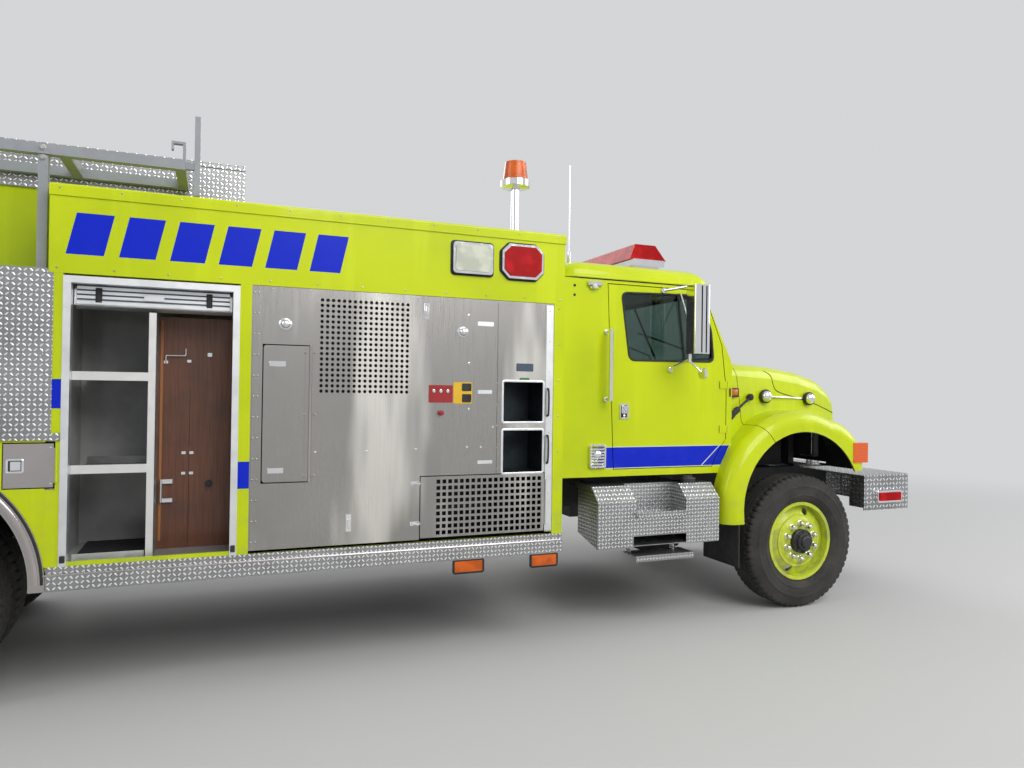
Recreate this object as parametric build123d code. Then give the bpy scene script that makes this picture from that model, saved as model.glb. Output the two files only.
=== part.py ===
"""A conventional-cab 4x4 rescue truck with a walk-around body. Millimetres, +X forward, +Y left, +Z up.

Every piece is laid out from the front axle line on the ground. The last step moves all of them together,
so that the origin ends under the middle of the vehicle.
"""
from build123d import *
from functools import cache
from math import cos, hypot, radians, sin, sqrt
import os

# Overall
wheelbase = 5810
front_overhang = 1100        # front axle to the face of the bumper
rear_overhang = 2190         # rear axle to the end of the tailboard
body_half_width = 1219
body_top = 2716              # roof of the body
drip_rail = 2475             # top of the cab's sides
cab_half_width = 1000
fit_gap = 0.3                # between curved faces that sit on each other
seam = 0.3                   # between the flat panels of one node
run_gap = 6                  # round doors, hood and hatches

# Wheels
tyre_radius = 520
tyre_width = 280
tyre_shoulder = 55
bead_radius = 292
rim_lip = 14
rim_wall = 12
rim_half = 108
bead_half = 88
front_track_half = 995       # wheel centre plane to the truck's middle
rear_track_half = 820        # middle of the twin pair
twin_spacing = 340
disc_wall = 14
disc_dish = 60
front_face = 100             # front disc flat, out from the wheel centre plane
hand_hole_radius = 30
hand_hole_circle = 232
hub_radius = 92
hub_reach = 34
rear_hub_reach = 150
rear_drum_width = 250
hub_bore = 42
drum_radius = 205
drum_width = 130

# Axles and steering
axle_tube = 62
kingpin_half = 800
kingpin_radius = 24
knuckle_height = 150
knuckle_radius = 62
spindle_clearance = 0.6
arm_reach = 235
arm_thick = 32
arm_drop = 75
tie_rod_radius = 20
ball_radius = 30
differential_radius = 165
differential_width = 260
front_differential_y = 170

# Frame
rail_half = 430              # middle of a rail
rail_width = 80
rail_height = 250
rail_wall = 9
rail_bottom = 780
rail_top = rail_bottom + rail_height
rail_front = 900
crossmember_places = (820, 330, -1800, -2600, -4200, -6700)
crossmember_half = 45        # half length along the frame
tow_eye = (740, 700)
tow_eye_radius = 44
tow_eye_bore = 25
tow_eye_half = 14
spring_width = 76
spring_pack = 60
spring_half_length = 660
spring_rise = 105

# Drive train
engine_length = 1050
engine_width = 680
engine_height = 620
engine_back = -560
gearbox_length = 620
radiator_gap = 70
muffler_radius = 95
muffler = (-3500, -2700)
pipe_radius = 32
transfer_x = -1450
shaft_radius = 45

# Cab
cab_wall = 50
cab_back = -2060
cab_floor = 1067
cab_mounts = (-1900, -760)
roof_top = drip_rail + 165
roof_front = -748
roof_corner = 170            # round of the roof's front corners, seen from above
roof_shoulder = (200, 117)   # where the crown starts: in from the side, up from the drip rail
roof_side = (6, 30)
roof_past = 5                # how far the form that rounds the corners runs past the roof
gutter = (9, 22)
pillar_top = (-890, drip_rail)
cowl_front = -598
pillar_foot = (cowl_front, 1905)
door_front = -655
door_back = -1665
door_lean = 62
door_corner_gap = 72         # door edge to fender, at the door's lower front corner
door_sill = 1122
door_head = 2448
window_low = 1908
window_high = 2392
window_back = -1583
window_front_low = -775
window_front_high = -950
window_corner = 45
glass = 8
pillar_margin = 80           # windshield edge, in from the cab side
door_hinges = (1400, 1740)
back_window = (520, (1800, 2300))
seat_y = 330
seat_half = 240
seat_cushion = ((-1680, -1160), (1420, 1560))
seat_back = ((-1850, -1710), (1420, 2130))
seat_round = 35
dash_back = -980
dash_z = (1480, 1790)
dash_round = 40
steering_centre = (-1120, 480, 1800)
steering_lean = (-0.62, 0, 0.78)
steering_radius = 225
steering_foot = (-972, 480, 1614)

# Front end
arch_centre = (-30, 800)
arch_radius = 585
fender_radius = 745
fender_half_width = cab_half_width + 175
fender_wall = 12
fender_round = 110
fender_front = 600
fender_foot = 695
fender_lamp_floor = 1065
hood_floor = 1085
seam_points = ((-515, 2150), (-461, 1650), (-447, 1455), (-322, 1300), (-250, 1150))
hood_wall = 14
hood_pivot = (848, 1092)
hood_hinge_half = 330
hinge_pin = 12
hinge_arm = 46
hinge_eye = 22
barrel = 5.5                 # radius of the door, hatch and lid hinges
grille_half_width = 560
grille_low = 1120
grille_high = 1600
grille_depth = 40
grille_place = 700
grille_bars = 9
grille_border = 24
headlamp = ((800, 1000), (1180, 1320))
turn_lamp = ((470, 622), (1075, fender_half_width + 6), (1130, 1290))
pod_places = ((-180, 872, 1655), (330, 812, 1640))
pod_radius = 36

# Front bumper
bumper_half_width = body_half_width - 19
bumper_back = 564
bumper_corner = 51
bumper_bottom = 745
bumper_height = 273
plate = 8
deck_lip = 20

# Step boxes beside the cab
step_back = -1845
step_front = -830
step_face = cab_half_width + 160
step_bottom = 586
step_shoulder = 906
step_chamfer = 100
step_depth = 300
step_recess = (-1538, -1120)
step_tread = 800
step_slot_height = 74
step_recess_depth = 190
lower_step_drop = 480
lower_step_height = 42
filler = (-1004, step_face - step_chamfer - 50, step_shoulder + step_chamfer)
flap_thick = 12
flap_low = 370
front_flap_x = arch_centre[0] - arch_radius - 25
front_flap_inner = 740

# Body
body_front = -2150
body_back = -7760
body_floor = 733
sub_floor = 1090             # floor over the frame rails
floor_thick = 24
bay_wall = 20
sill = 22
body_skin = 6
panel_inset = 3
post_width = 74
valance_low = 2252
roof_lip = body_top - 64
lip_reach = 7
band_wall = 40
bay_depth = 620              # depth of a side compartment
bay_back_post = -5096        # outer edge of the post behind the front compartment
middle_post = (-4171, -4109)
door_frame = (-5030, -4171)  # outer edges of the aluminium door frame
frame_face = 36
frame_depth = 60
frame_proud = 4
head_gap = 11                # above a door frame
side_panel = (-4109, -2224)  # stainless side panel
panel_low = 750
panel_high = 2250
hatch = (-4042, -3790)
hatch_z = (1132, 1915)
round_vent = (-3732, -3200)
round_vent_z = (1645, 2200)
round_vent_counts = (17, 18)
round_hole = 11
vent_border = 14
vent_door = (-3115, -2283)
vent_door_z = (758, 1135)
square_vent = (-3014, -2304)
square_vent_z = (774, 1115)
square_vent_counts = (19, 9)
square_hole = 25
cubby = (-2576, -2300)
cubby_z = ((1474, 1729), (1146, 1416))
cubby_depth = 240
shelf_z = ((1699, 1745), (1202, 1248))
divider = (-4633, -4597)
divider_top = 2072
board_y = 900
board_thick = 18
shutter_radius = 75
shutter_thick = 16
slat_pitch = 150
slat_height = 120
rear_bay = (-7640, -6650)    # outer edges of the door frame behind the rear wheels
arch_mid_z = 640
ring_inner = 650
ring_outer = 700
welt_outer = 722
ring_proud = 8
box_top = 2271               # top of the side boxes over the rear wheels
moulding = (1387, 1423)
tread_proud = 3
tread_lap = 24                # tread plate over the post ahead of it
fill_door = (-5276, -5057)
fill_door_z = (1145, 1370)
pocket_gap = 14.3            # fill door opening to its pocket's outside, and a fit
rail_face = (609, 689)
rail_ledge = body_floor
rub_rail_front = -2150
hose_wall_half = 620
hose_wall = 30
hose_wall_top = body_top + 89
hose_cap = 55
side_board_half = hose_wall_half + 45
side_board_top = body_top + 354
side_board_front = -4140
side_board_wall = 8
board_trim = 30
tailboard_top = 640
tailboard_thick = 80
tailboard_wall = 6
tail_opening = (1120, 2100)

# Roof and side equipment
rack_half = body_half_width - 99
rack_tube = 55
rack_top = body_top + 216
rack_front = -4466
rack_middle = (-6200, -5080)
rack_posts = (-5145, -7300)
clamp_height = rack_top + 253
beacon_x = -2447
beacon_y = body_half_width - 169
beacon_pole_radius = 28
beacon_top = body_top + 489
beacon_dome = 125
antenna_x = -1915
antenna_y = 800
antenna_top = roof_top + 690
bar_x = (-1290, -960)
bar_half = 620
bar_z = (roof_top + 37, roof_top + 88, roof_top + 205)
mirror_x = (-1180, -1050)
mirror_y = (cab_half_width + 200, cab_half_width + 330)
mirror_z = (1952, 2442)
mirror_mast = (-1115, cab_half_width + 172)
mirror_feet = ((-1235, 2430), (-1171, 1845))
mirror_round = (-1045, cab_half_width + 235, 1814)
mirror_round_radius = 40
handle_x = -1710
handle_z = (1610, 2118)
handle_reach = 75

# Places worked out from the sizes above
wheel_z = tyre_radius
rear_axle = -wheelbase
overall_length = front_overhang + wheelbase + rear_overhang
front_axle_x = overall_length / 2 - front_overhang
tail = rear_axle - rear_overhang
bay_wall_y = body_half_width - bay_depth
hose_wall_y = (hose_wall_half, hose_wall_half + hose_wall)


def block(x, y, z):
    """A box from three (low, high) pairs."""
    middle = Pos((x[0] + x[1]) / 2, (y[0] + y[1]) / 2, (z[0] + z[1]) / 2)
    return middle * Box(x[1] - x[0], y[1] - y[0], z[1] - z[0])


def span(a, b):
    return (min(a, b), max(a, b))


def grown(pair, by):
    return (pair[0] - by, pair[1] + by)


def rod(start, end, radius):
    """A round bar between two points."""
    start, end = Vector(*start), Vector(*end)
    along = Plane(origin=start, z_dir=end - start)
    return extrude(along * Circle(radius), amount=(end - start).length)


def side_plate(face, y):
    """A face drawn in X and Z, made solid from y[0] to y[1]."""
    return extrude(Plane.XZ.offset(-y[1]) * face, amount=y[1] - y[0], dir=(0, -1, 0))


def outline(points):
    return make_face(Polyline(*points, close=True))


def cross_section(points, x):
    """A polygon drawn in Y and Z, made solid from x[0] to x[1]."""
    return extrude(Plane.YZ.offset(x[0]) * outline(points), amount=x[1] - x[0], dir=(1, 0, 0))


def disc_y(x, z, radius, y):
    return rod((x, y[0], z), (x, y[1], z), radius)


def other_side(piece):
    return mirror(piece, about=Plane.XZ)


def both(piece):
    """A left piece with its mirror image on the right."""
    return piece + other_side(piece)


def panel(x, y, z):
    """A flat panel that leaves half a seam on every side, so that neighbours don't touch."""
    return block(grown(x, -seam / 2), grown(y, -seam / 2), grown(z, -seam / 2))


def panels(pieces):
    """Panels with seams between them, kept as one group."""
    return Compound([solid for piece in pieces for solid in piece.solids()])


def both_panels(pieces):
    return pieces + [other_side(piece) for piece in pieces]


def lathe(points, x, z):
    """A profile of (radius, y) pairs turned about a crosswise axis."""
    face = Pos(x, 0, z) * outline([(r, y) for r, y in points])
    return revolve(face, Axis((x, 0, z), (0, 1, 0)))


# Frame and drive train

def frame_rails():
    """Two channels with their crossmembers, the posts under the cab and the tow eyes."""
    inner = rail_width / 2
    channel = [(-inner, 0), (inner, 0), (inner, rail_height), (-inner, rail_height),
               (-inner, rail_height - rail_wall), (inner - rail_wall, rail_height - rail_wall),
               (inner - rail_wall, rail_wall), (-inner, rail_wall)]
    channel = [(y + rail_half, z + rail_bottom) for y, z in channel]
    pieces = both_panels([cross_section(channel, (body_back + 60, rail_front))])
    web = rail_half + inner - rail_wall
    for x in crossmember_places:
        place = (x - crossmember_half, x + crossmember_half)
        pieces.append(panel(place, (-web, web), (rail_bottom + 60, rail_top - 60)))
    for x in cab_mounts:
        place = (x - crossmember_half, x + crossmember_half)
        pieces += both_panels([panel(place, (rail_half - inner, rail_half + inner), (rail_top, cab_floor))])
    return panels(pieces + tow_eyes())


def tow_eyes():
    """A forged eye under the front end of each rail."""
    x, z = tow_eye
    y = (rail_half - tow_eye_half, rail_half + tow_eye_half)
    eye = disc_y(x, z, tow_eye_radius, y)
    eye += block((x - 20, x + 60), y, (z + 22, rail_bottom - seam))
    return both_panels([eye - disc_y(x, z, tow_eye_bore, grown(y, 1))])


def axle(x, half, differential_y):
    """A live axle: a tube with its differential housing and a seat for each spring."""
    tube = rod((x, -half, wheel_z), (x, half, wheel_z), axle_tube)
    y0, y1 = differential_y - differential_width / 2, differential_y + differential_width / 2
    third = differential_width / 4
    end = differential_radius * 0.62
    profile = [(0, y0), (end, y0), (differential_radius, y0 + third),
               (differential_radius, y1 - third), (end, y1), (0, y1)]
    housing = lathe(profile, x, wheel_z)
    seats = both(block((x - 80, x + 80), (rail_half - spring_width / 2, rail_half + spring_width / 2),
                       (wheel_z + axle_tube - 22, wheel_z + axle_tube + 20)))
    return tube + housing + seats


def front_axle():
    """The front axle ends in a fork above and below each knuckle."""
    beam = axle(0, kingpin_half - knuckle_radius - 26, front_differential_y)
    fork_y = (kingpin_half - knuckle_radius - 60, kingpin_half - knuckle_radius - 18)
    fork = block((-55, 55), fork_y, (wheel_z - knuckle_height / 2 - 42, wheel_z + knuckle_height / 2 + 42))
    for side in (-1, 1):
        level = wheel_z + side * (knuckle_height / 2 + 24)
        fork += block((-45, 45), (fork_y[0], kingpin_half + 40), span(level - 18, level + 18))
        fork -= rod((0, kingpin_half, level - 30), (0, kingpin_half, level + 30), kingpin_radius + fit_gap)
    return beam + both(fork)


def rear_axle_beam():
    beam = axle(rear_axle, rear_track_half - twin_spacing / 2 - 110, 0)
    spindle = disc_y(rear_axle, wheel_z, hub_bore - spindle_clearance,
                     (rear_track_half - twin_spacing / 2 - 115, rear_track_half + 20))
    return beam + both(spindle)


def leaf_springs():
    """Four packs, each bowed down to its axle between two hangers under the rail."""
    low = wheel_z + axle_tube + 20
    ends = low + spring_rise
    packs = Part()
    for x in (0, rear_axle):
        bottom = ThreePointArc((x - spring_half_length, ends), (x, low), (x + spring_half_length, ends))
        right = Line((x + spring_half_length, ends), (x + spring_half_length, ends + 16))
        top = ThreePointArc((x + spring_half_length, ends + 16), (x, low + spring_pack),
                            (x - spring_half_length, ends + 16))
        left = Line((x - spring_half_length, ends + 16), (x - spring_half_length, ends))
        y = (rail_half - spring_width / 2, rail_half + spring_width / 2)
        leaf = side_plate(make_face([bottom, right, top, left]), y)
        for end in (-1, 1):
            middle = x + end * (spring_half_length - 20)
            leaf += block((middle - 30, middle + 30), y, (ends, rail_bottom))
        packs += both(leaf)
    return packs


def engine_block():
    """One plain block with its sump between the rails and a mount to each rail."""
    y = (-engine_width / 2, engine_width / 2)
    engine = block((engine_back, engine_back + engine_length), y, (rail_top + 5, rail_top + engine_height))
    half = rail_half - rail_width / 2 - 40
    sump_x = (engine_back + 200, engine_back + engine_length - 360)
    sump = block(sump_x, (-half, half), (rail_bottom + 20, rail_top + 5))
    middle = engine_back + 360
    mounts = both(block((middle - 50, middle + 50), (half, rail_half + rail_width / 2 - rail_wall),
                        (rail_bottom + 70, rail_bottom + 100)))
    return engine + sump + mounts


def driveline():
    """Gearbox, transfer case and the shafts to both differentials."""
    sump_back = engine_back + 200
    gearbox = block((sump_back - gearbox_length, sump_back), (-190, 190), (rail_bottom + 30, rail_top - 5))
    case = block((transfer_x - 130, transfer_x + 130), (-200, 330), (rail_bottom - 140, rail_top - 60))
    level = rail_bottom + 120
    link = rod((sump_back - gearbox_length + 5, 0, level), (transfer_x, 0, level), shaft_radius)
    rear = rod((transfer_x, 0, rail_bottom + 20), (rear_axle, 0, wheel_z), shaft_radius)
    rear -= block((rear_axle - 100, rear_axle + differential_radius), (-300, 300), (0, 900))
    y = front_differential_y
    front = rod((transfer_x + 60, y, rail_bottom - 40), (0, y, wheel_z), shaft_radius * 0.8)
    front -= block((-differential_radius, 100), (-300, 600), (0, 900))
    return gearbox + case + link + rear + front


def radiator():
    start = engine_back + engine_length + radiator_gap
    core = block((start, start + 60), (-360, 360), (rail_top + 5, 1560))
    feet = both(block((start, start + 60), (340, rail_half), (rail_top, rail_top + 16)))
    return core + feet


def exhaust():
    """Muffler inside the right rail, fed from the engine and let out under the body's edge."""
    y, level = -250, rail_bottom + 80
    body = rod((muffler[0], y, level), (muffler[1], y, level), muffler_radius)
    low = rail_bottom + 20
    feed = rod((muffler[1] - 5, y, low), (engine_back + 195, y, low), pipe_radius)
    tail_x = muffler[0] - 420
    out = rod((muffler[0] + 5, y, low), (tail_x, y, low), pipe_radius)
    out += rod((tail_x, y, low), (tail_x, y, body_floor - 90), pipe_radius)
    out += rod((tail_x, y, body_floor - 90), (tail_x, -body_half_width + 60, body_floor - 90), pipe_radius)
    strap = Part()
    web = rail_half + rail_width / 2 - rail_wall
    for x in (muffler[0] + 120, muffler[1] - 120):
        strap += block((x - 20, x + 20), (-web, y), (level - 10, level + 10))
    return body + feed + out + strap


def air_tanks():
    y, level = 250, rail_bottom + 100
    tanks = rod((muffler[0], y, level), (muffler[1], y, level), muffler_radius)
    web = rail_half + rail_width / 2 - rail_wall
    for x in (muffler[0] + 120, muffler[1] - 120):
        tanks += block((x - 20, x + 20), (y, web), (level - 10, level + 10))
    return tanks


# Wheels

def tyre(x, y):
    """A tyre whose middle plane is at y."""
    half = tyre_width / 2
    side = [(bead_radius + fit_gap, bead_half), (bead_radius + rim_lip + 4, bead_half + 2),
            (bead_radius + 40, half - 14), (bead_radius + 95, half),
            (bead_radius + 140, half - 2), (tyre_radius - tyre_shoulder, half - 12),
            (tyre_radius - 14, half - 22), (tyre_radius, half - 46)]
    far = [(r, -across) for r, across in side[::-1]]
    return lathe([(r, y + across) for r, across in side + far], x, wheel_z)


def wheel_disc(x, y, face):
    """A rim of one tyre with a dished disc; face is the disc's flat, from the rim's middle plane."""
    lip, edge = bead_radius + rim_lip, rim_half
    flange = edge - rim_wall
    rim = [(lip, edge), (lip, flange), (bead_radius, flange), (bead_radius, -flange), (lip, -flange),
           (lip, -edge), (bead_radius - rim_wall, -edge), (bead_radius - rim_wall, edge)]
    body = lathe([(r, y + across) for r, across in rim], x, wheel_z)
    seat = face - disc_dish if face > 0 else face + disc_dish
    disc = [(bead_radius - rim_wall + 2, seat), (hub_radius + 75, face), (0, face), (0, face - disc_wall),
            (hub_radius + 70, face - disc_wall), (bead_radius - rim_wall + 2, seat - disc_wall)]
    body += lathe([(r, y + across) for r, across in disc], x, wheel_z)
    for turn in (70, 250):
        hole_x = x + hand_hole_circle * cos(radians(turn))
        hole_z = wheel_z + hand_hole_circle * sin(radians(turn))
        body -= disc_y(hole_x, hole_z, hand_hole_radius, (y + face - 100, y + face + 60))
    return body


def hub_and_drum(x, flange, drum_back, bore_end):
    """Hub, drum open at the back, and the bore for the spindle, about a flange plane."""
    drum = (drum_back, flange - disc_wall + 2)
    body = disc_y(x, wheel_z, drum_radius, drum)
    body -= disc_y(x, wheel_z, drum_radius - 14, (drum[0] - 1, drum[1] - 28))
    body += disc_y(x, wheel_z, hub_radius * 0.8, (drum[0], drum[1]))
    body += disc_y(x, wheel_z, hub_radius, (flange - 4, flange + hub_reach))
    return body, disc_y(x, wheel_z, hub_bore, (drum[0] - 10, bore_end))


def front_wheel():
    """Disc wheel, hub and brake drum of the left front wheel."""
    flange = front_track_half + front_face
    hub, bore = hub_and_drum(0, flange, flange - disc_wall - drum_width, flange - 20)
    return wheel_disc(0, front_track_half, front_face) + hub - bore


def rear_wheels():
    """Two discs back to back on the left hub and its drum."""
    half = twin_spacing / 2
    body = wheel_disc(rear_axle, rear_track_half + half, disc_wall - half)
    body += wheel_disc(rear_axle, rear_track_half - half, half)
    hub, bore = hub_and_drum(rear_axle, rear_track_half + disc_wall, rear_track_half - rear_drum_width,
                             rear_track_half + 30)
    cover = disc_y(rear_axle, wheel_z, hub_radius, (rear_track_half, rear_track_half + rear_hub_reach))
    return body + hub + cover - bore


def rear_tyres():
    half = twin_spacing / 2
    return tyre(rear_axle, rear_track_half + half) + tyre(rear_axle, rear_track_half - half)


def knuckle():
    """Left steering knuckle: a post between the fork's arms, kingpins, the spindle and the steering arm."""
    y = kingpin_half
    low, high = wheel_z - knuckle_height / 2, wheel_z + knuckle_height / 2
    body = rod((0, y, low), (0, y, high), knuckle_radius)
    body += rod((0, y, low - 40), (0, y, high + 40), kingpin_radius)
    flange = front_track_half + front_face
    body += disc_y(0, wheel_z, knuckle_radius * 0.95, (y, flange - disc_wall - drum_width - run_gap))
    body += disc_y(0, wheel_z, hub_bore - spindle_clearance, (y, flange - 25))
    arm = (wheel_z - arm_drop, wheel_z - arm_drop + arm_thick)
    body += block((-arm_reach, 0), (y - 18, y + 18), arm)
    body += rod((-arm_reach, y, arm[0]), (-arm_reach, y, arm[1]), ball_radius)
    return body


def tie_rod():
    """A bar between the two steering arms, its ends seated under them."""
    top = wheel_z - arm_drop - spindle_clearance
    level = top - ball_radius
    bar = rod((-arm_reach, -kingpin_half, level), (-arm_reach, kingpin_half, level), tie_rod_radius)
    for y in (-kingpin_half, kingpin_half):
        bar += rod((-arm_reach, y, level - 24), (-arm_reach, y, top), ball_radius - 4)
    return bar


# Cab

def cab_outline(inset):
    """The cab's side outline, moved in by a wall."""
    back, front = cab_back + inset, cowl_front - inset
    rake = (pillar_foot[0] - pillar_top[0]) / (pillar_top[1] - pillar_foot[1])
    slant = inset * sqrt(1 + rake * rake)
    top = drip_rail - inset
    top_x = pillar_top[0] - slant + rake * inset
    foot_z = pillar_foot[1] - (slant - inset) / rake
    floor = cab_floor + inset
    return outline([(back, floor), (front, floor), (front, foot_z), (top_x, top), (back, top)])


def door_outline(gap):
    """The door's outline, grown by a gap for its opening; the front lower corner follows the fender."""
    points = [(door_back - door_lean * 0.5 - gap, door_head + gap),
              (pillar_top[0] + 15 + gap * 0.6, door_head + gap),
              (door_front - 45 + gap, 2043), (door_front + gap, 1700), (door_front + gap, door_sill - gap),
              (door_back + door_lean * 0.5 - gap, door_sill - gap)]
    face = outline(points)
    corner = Pos(*arch_centre) * Circle(fender_radius + door_corner_gap - gap)
    return face - corner


def window_outline():
    points = [(window_back, window_high), (window_front_high, window_high + 18),
              (window_front_low - 28, (window_low + window_high) / 2 + 20),
              (window_front_low, window_low + 8), (window_back + 70, window_low)]
    face = outline(points)
    return fillet(face.vertices(), window_corner)


def cab_shell():
    half = cab_half_width
    shell = side_plate(cab_outline(0), (-half, half))
    shell -= side_plate(cab_outline(cab_wall), (-half + cab_wall, half - cab_wall))
    for y in ((-half - 1, -half + cab_wall + 1), (half - cab_wall - 1, half + 1)):
        shell -= side_plate(door_outline(run_gap), y)
    shell -= windshield_slab(pillar_margin, 30, cab_wall + 120)
    half_window, window_z = back_window
    shell -= block((cab_back - 1, cab_back + cab_wall + 1), (-half_window, half_window), window_z)
    return shell + both(barrels(door_hinge_x(), half + barrel - 2, door_hinges, 52))


def windshield_slab(margin, start, thick):
    """A slab square to the raked windshield, from a start outside the pillars' line inwards."""
    rise = pillar_top[1] - pillar_foot[1]
    run = pillar_foot[0] - pillar_top[0]
    length = hypot(rise, run)
    normal = Vector(rise / length, 0, run / length)
    middle = ((pillar_top[0] + pillar_foot[0]) / 2, 0, (pillar_top[1] + pillar_foot[1]) / 2)
    pane = Plane(origin=middle, x_dir=(0, 1, 0), z_dir=normal)
    shape = RectangleRounded(2 * (cab_half_width - margin), length - 1.4 * margin, 60)
    return extrude(pane.offset(start) * shape, amount=thick, dir=-normal)


def cab_glass():
    """Windshield and back window, each seated in its opening."""
    front = windshield_slab(pillar_margin + fit_gap, -12, glass)
    half, z = back_window
    x = (cab_back + 15, cab_back + 15 + glass)
    return front + block(x, grown((-half, half), -fit_gap), grown(z, -fit_gap))


def roof_crown():
    """Half of the roof's section: side, round shoulder and the crown's end, from the drip rail up."""
    edge = (cab_half_width - roof_side[0], drip_rail + roof_side[1])
    shoulder = (cab_half_width - roof_shoulder[0], drip_rail + roof_shoulder[1])
    bend = (cab_half_width - 45, drip_rail + 82)
    return edge, bend, shoulder


def roof_profile():
    """The roof's side outline with its rounded brow, a little larger than the roof elsewhere."""
    back, low, top = cab_back - 1, drip_rail - 1, roof_top + 1
    turn, brow = (roof_front - 150, top), (roof_front, drip_rail + 62)
    return make_face([Line((back, low), (back, top)), Line((back, top), turn),
                      ThreePointArc(turn, (roof_front - 38, top - 50), brow), Line(brow, (roof_front, low)),
                      Line((roof_front, low), (back, low))])


@cache
def cab_roof():
    """Crowned roof with rounded front corners, and a gutter along each side."""
    half, low = cab_half_width, drip_rail
    edge, bend, shoulder = roof_crown()
    foot = (half + roof_side[0], low)
    section = [Line(foot, edge), ThreePointArc(edge, bend, shoulder),
               ThreePointArc(shoulder, (0, roof_top), (-shoulder[0], shoulder[1])),
               ThreePointArc((-shoulder[0], shoulder[1]), (-bend[0], bend[1]), (-edge[0], edge[1])),
               Line((-edge[0], edge[1]), (-foot[0], low)), Line((-foot[0], low), foot)]
    length = roof_front - cab_back
    cap = extrude(Plane.YZ.offset(cab_back) * make_face(section), amount=length, dir=(1, 0, 0))
    cap &= side_plate(roof_profile(), (-half - 1, half + 1))
    ends = (cab_back - roof_past, roof_front + roof_past)
    plan = outline([(ends[0], -half), (ends[1], -half), (ends[1], half), (ends[0], half)])
    plan = fillet(plan.vertices().group_by(Axis.X)[-1], roof_corner)
    cap &= extrude(Pos(0, 0, low - roof_past) * plan, amount=roof_top)
    x = (cab_back, pillar_top[0] - 20)
    rail = block(x, (half - 3, half + gutter[0]), (low, low + 8))
    rail += block(x, (half, half + gutter[0]), (low + 8 - gutter[1], low + 8))
    return cap + both(rail)


def seats():
    """Two seats, each a cushion and a back on a plinth."""
    (cushion_x, cushion_z), (back_x, back_z) = seat_cushion, seat_back
    group = Part()
    for side in (seat_y, -seat_y):
        y = (side - seat_half, side + seat_half)
        group += fillet(block(cushion_x, y, cushion_z).edges(), seat_round)
        group += fillet(block(back_x, y, back_z).edges(), seat_round)
        group += block((back_x[0] + 70, cushion_x[0] + 20), grown(y, -40), grown(cushion_z, -25))
        group += block(grown(cushion_x, -50), grown(y, -60), (cab_floor + cab_wall, cushion_z[0] + 10))
    return group


def dashboard():
    half = cab_half_width - cab_wall - 8
    box = block((dash_back, cowl_front - cab_wall), (-half, half), dash_z)
    return fillet(box.edges().filter_by(Axis.Y), dash_round)


def steering_wheel():
    """A wheel of four spokes on a column out of the dashboard."""
    tilt = Plane(origin=steering_centre, z_dir=steering_lean)
    across = 2 * steering_radius - 10
    wheel = tilt * Torus(steering_radius, 15) + tilt * Cylinder(55, 40)
    wheel += tilt * Box(across, 34, 14) + tilt * Box(34, across, 14)
    wheel += rod(steering_centre, steering_foot, 28)
    return wheel - block((dash_back, cowl_front), grown((steering_foot[1], steering_foot[1]), 200), dash_z)


def door_hinge_x():
    return door_front + 15


def barrels(x, y, levels, length):
    """Upright hinge pins whose middles are at the given heights."""
    pins = Part()
    for z in levels:
        pins += rod((x, y, z - length / 2), (x, y, z + length / 2), barrel)
    return pins


def cab_door():
    """Left door: a hollow slab with its window cut and a leaf for each hinge."""
    y = (cab_half_width - cab_wall, cab_half_width)
    skin = side_plate(door_outline(0), y)
    skin -= side_plate(window_outline(), (y[0] - 1, y[1] + 1))
    hollow = door_outline(-38) - offset(window_outline(), 38)
    skin -= side_plate(hollow, (y[0] + 12, y[1] - 14))
    for z in door_hinges:
        height = (z - 28, z + 28)
        skin += block((door_front - 60, door_front - 20), (y[1] - 2, y[1] + 6), height)
        skin += block((door_front - 60, door_hinge_x() - barrel - fit_gap), (y[1] + 1, y[1] + 6), height)
    return skin


def door_glass():
    y = cab_half_width - 16
    return side_plate(offset(window_outline(), -fit_gap), (y - glass, y))


def mirror_set():
    """Tall mirror head and a small round one on a mast, held by two arms and a strut from the left door."""
    skin = cab_half_width + fit_gap
    mast_x, mast_y = mirror_mast
    group = fillet(block(mirror_x, mirror_y, mirror_z).edges().filter_by(Axis.Z), 24)
    group += rod((mast_x, mast_y, mirror_z[0] - 55), (mast_x, mast_y, mirror_z[1] + 20), 13)
    for z in (mirror_z[0] + 80, mirror_z[1] - 70):
        group += block((mast_x - 10, mast_x + 10), (mast_y, mirror_y[0] + 2), (z - 15, z + 15))
    for (foot_x, foot_z), end in zip(mirror_feet, (mirror_z[1] + 8, mirror_z[0] - 30)):
        group += rod((foot_x, skin, foot_z), (mast_x, mast_y, end), 11)
        group += rod((foot_x, skin, foot_z), (foot_x, skin + 15, foot_z), 20)
    strut_foot = (mast_x + 34, skin, mirror_feet[0][1] - 8)
    group += rod(strut_foot, (mast_x, mast_y, mirror_z[0] + 200), 7)
    x, y, z = mirror_round
    group += rod((mast_x, mast_y, mirror_z[0] - 45), (x, y, z), 8)
    group += rod((x - 12, y, z), (x + 12, y, z), mirror_round_radius)
    return group - block((-2000, 0), (skin - 60, skin), (1500, 2600))


def grab_handles():
    """A bright handle behind each door."""
    skin = cab_half_width + fit_gap
    out = skin + handle_reach
    handle = rod((handle_x, out, handle_z[0]), (handle_x, out, handle_z[1]), 16)
    for z in (handle_z[0] + 12, handle_z[1] - 14):
        handle += rod((handle_x, skin, z), (handle_x, out, z), 12)
        handle += rod((handle_x, skin, z), (handle_x, skin + 12, z), 18)
    return both(handle)


# Front end

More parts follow.
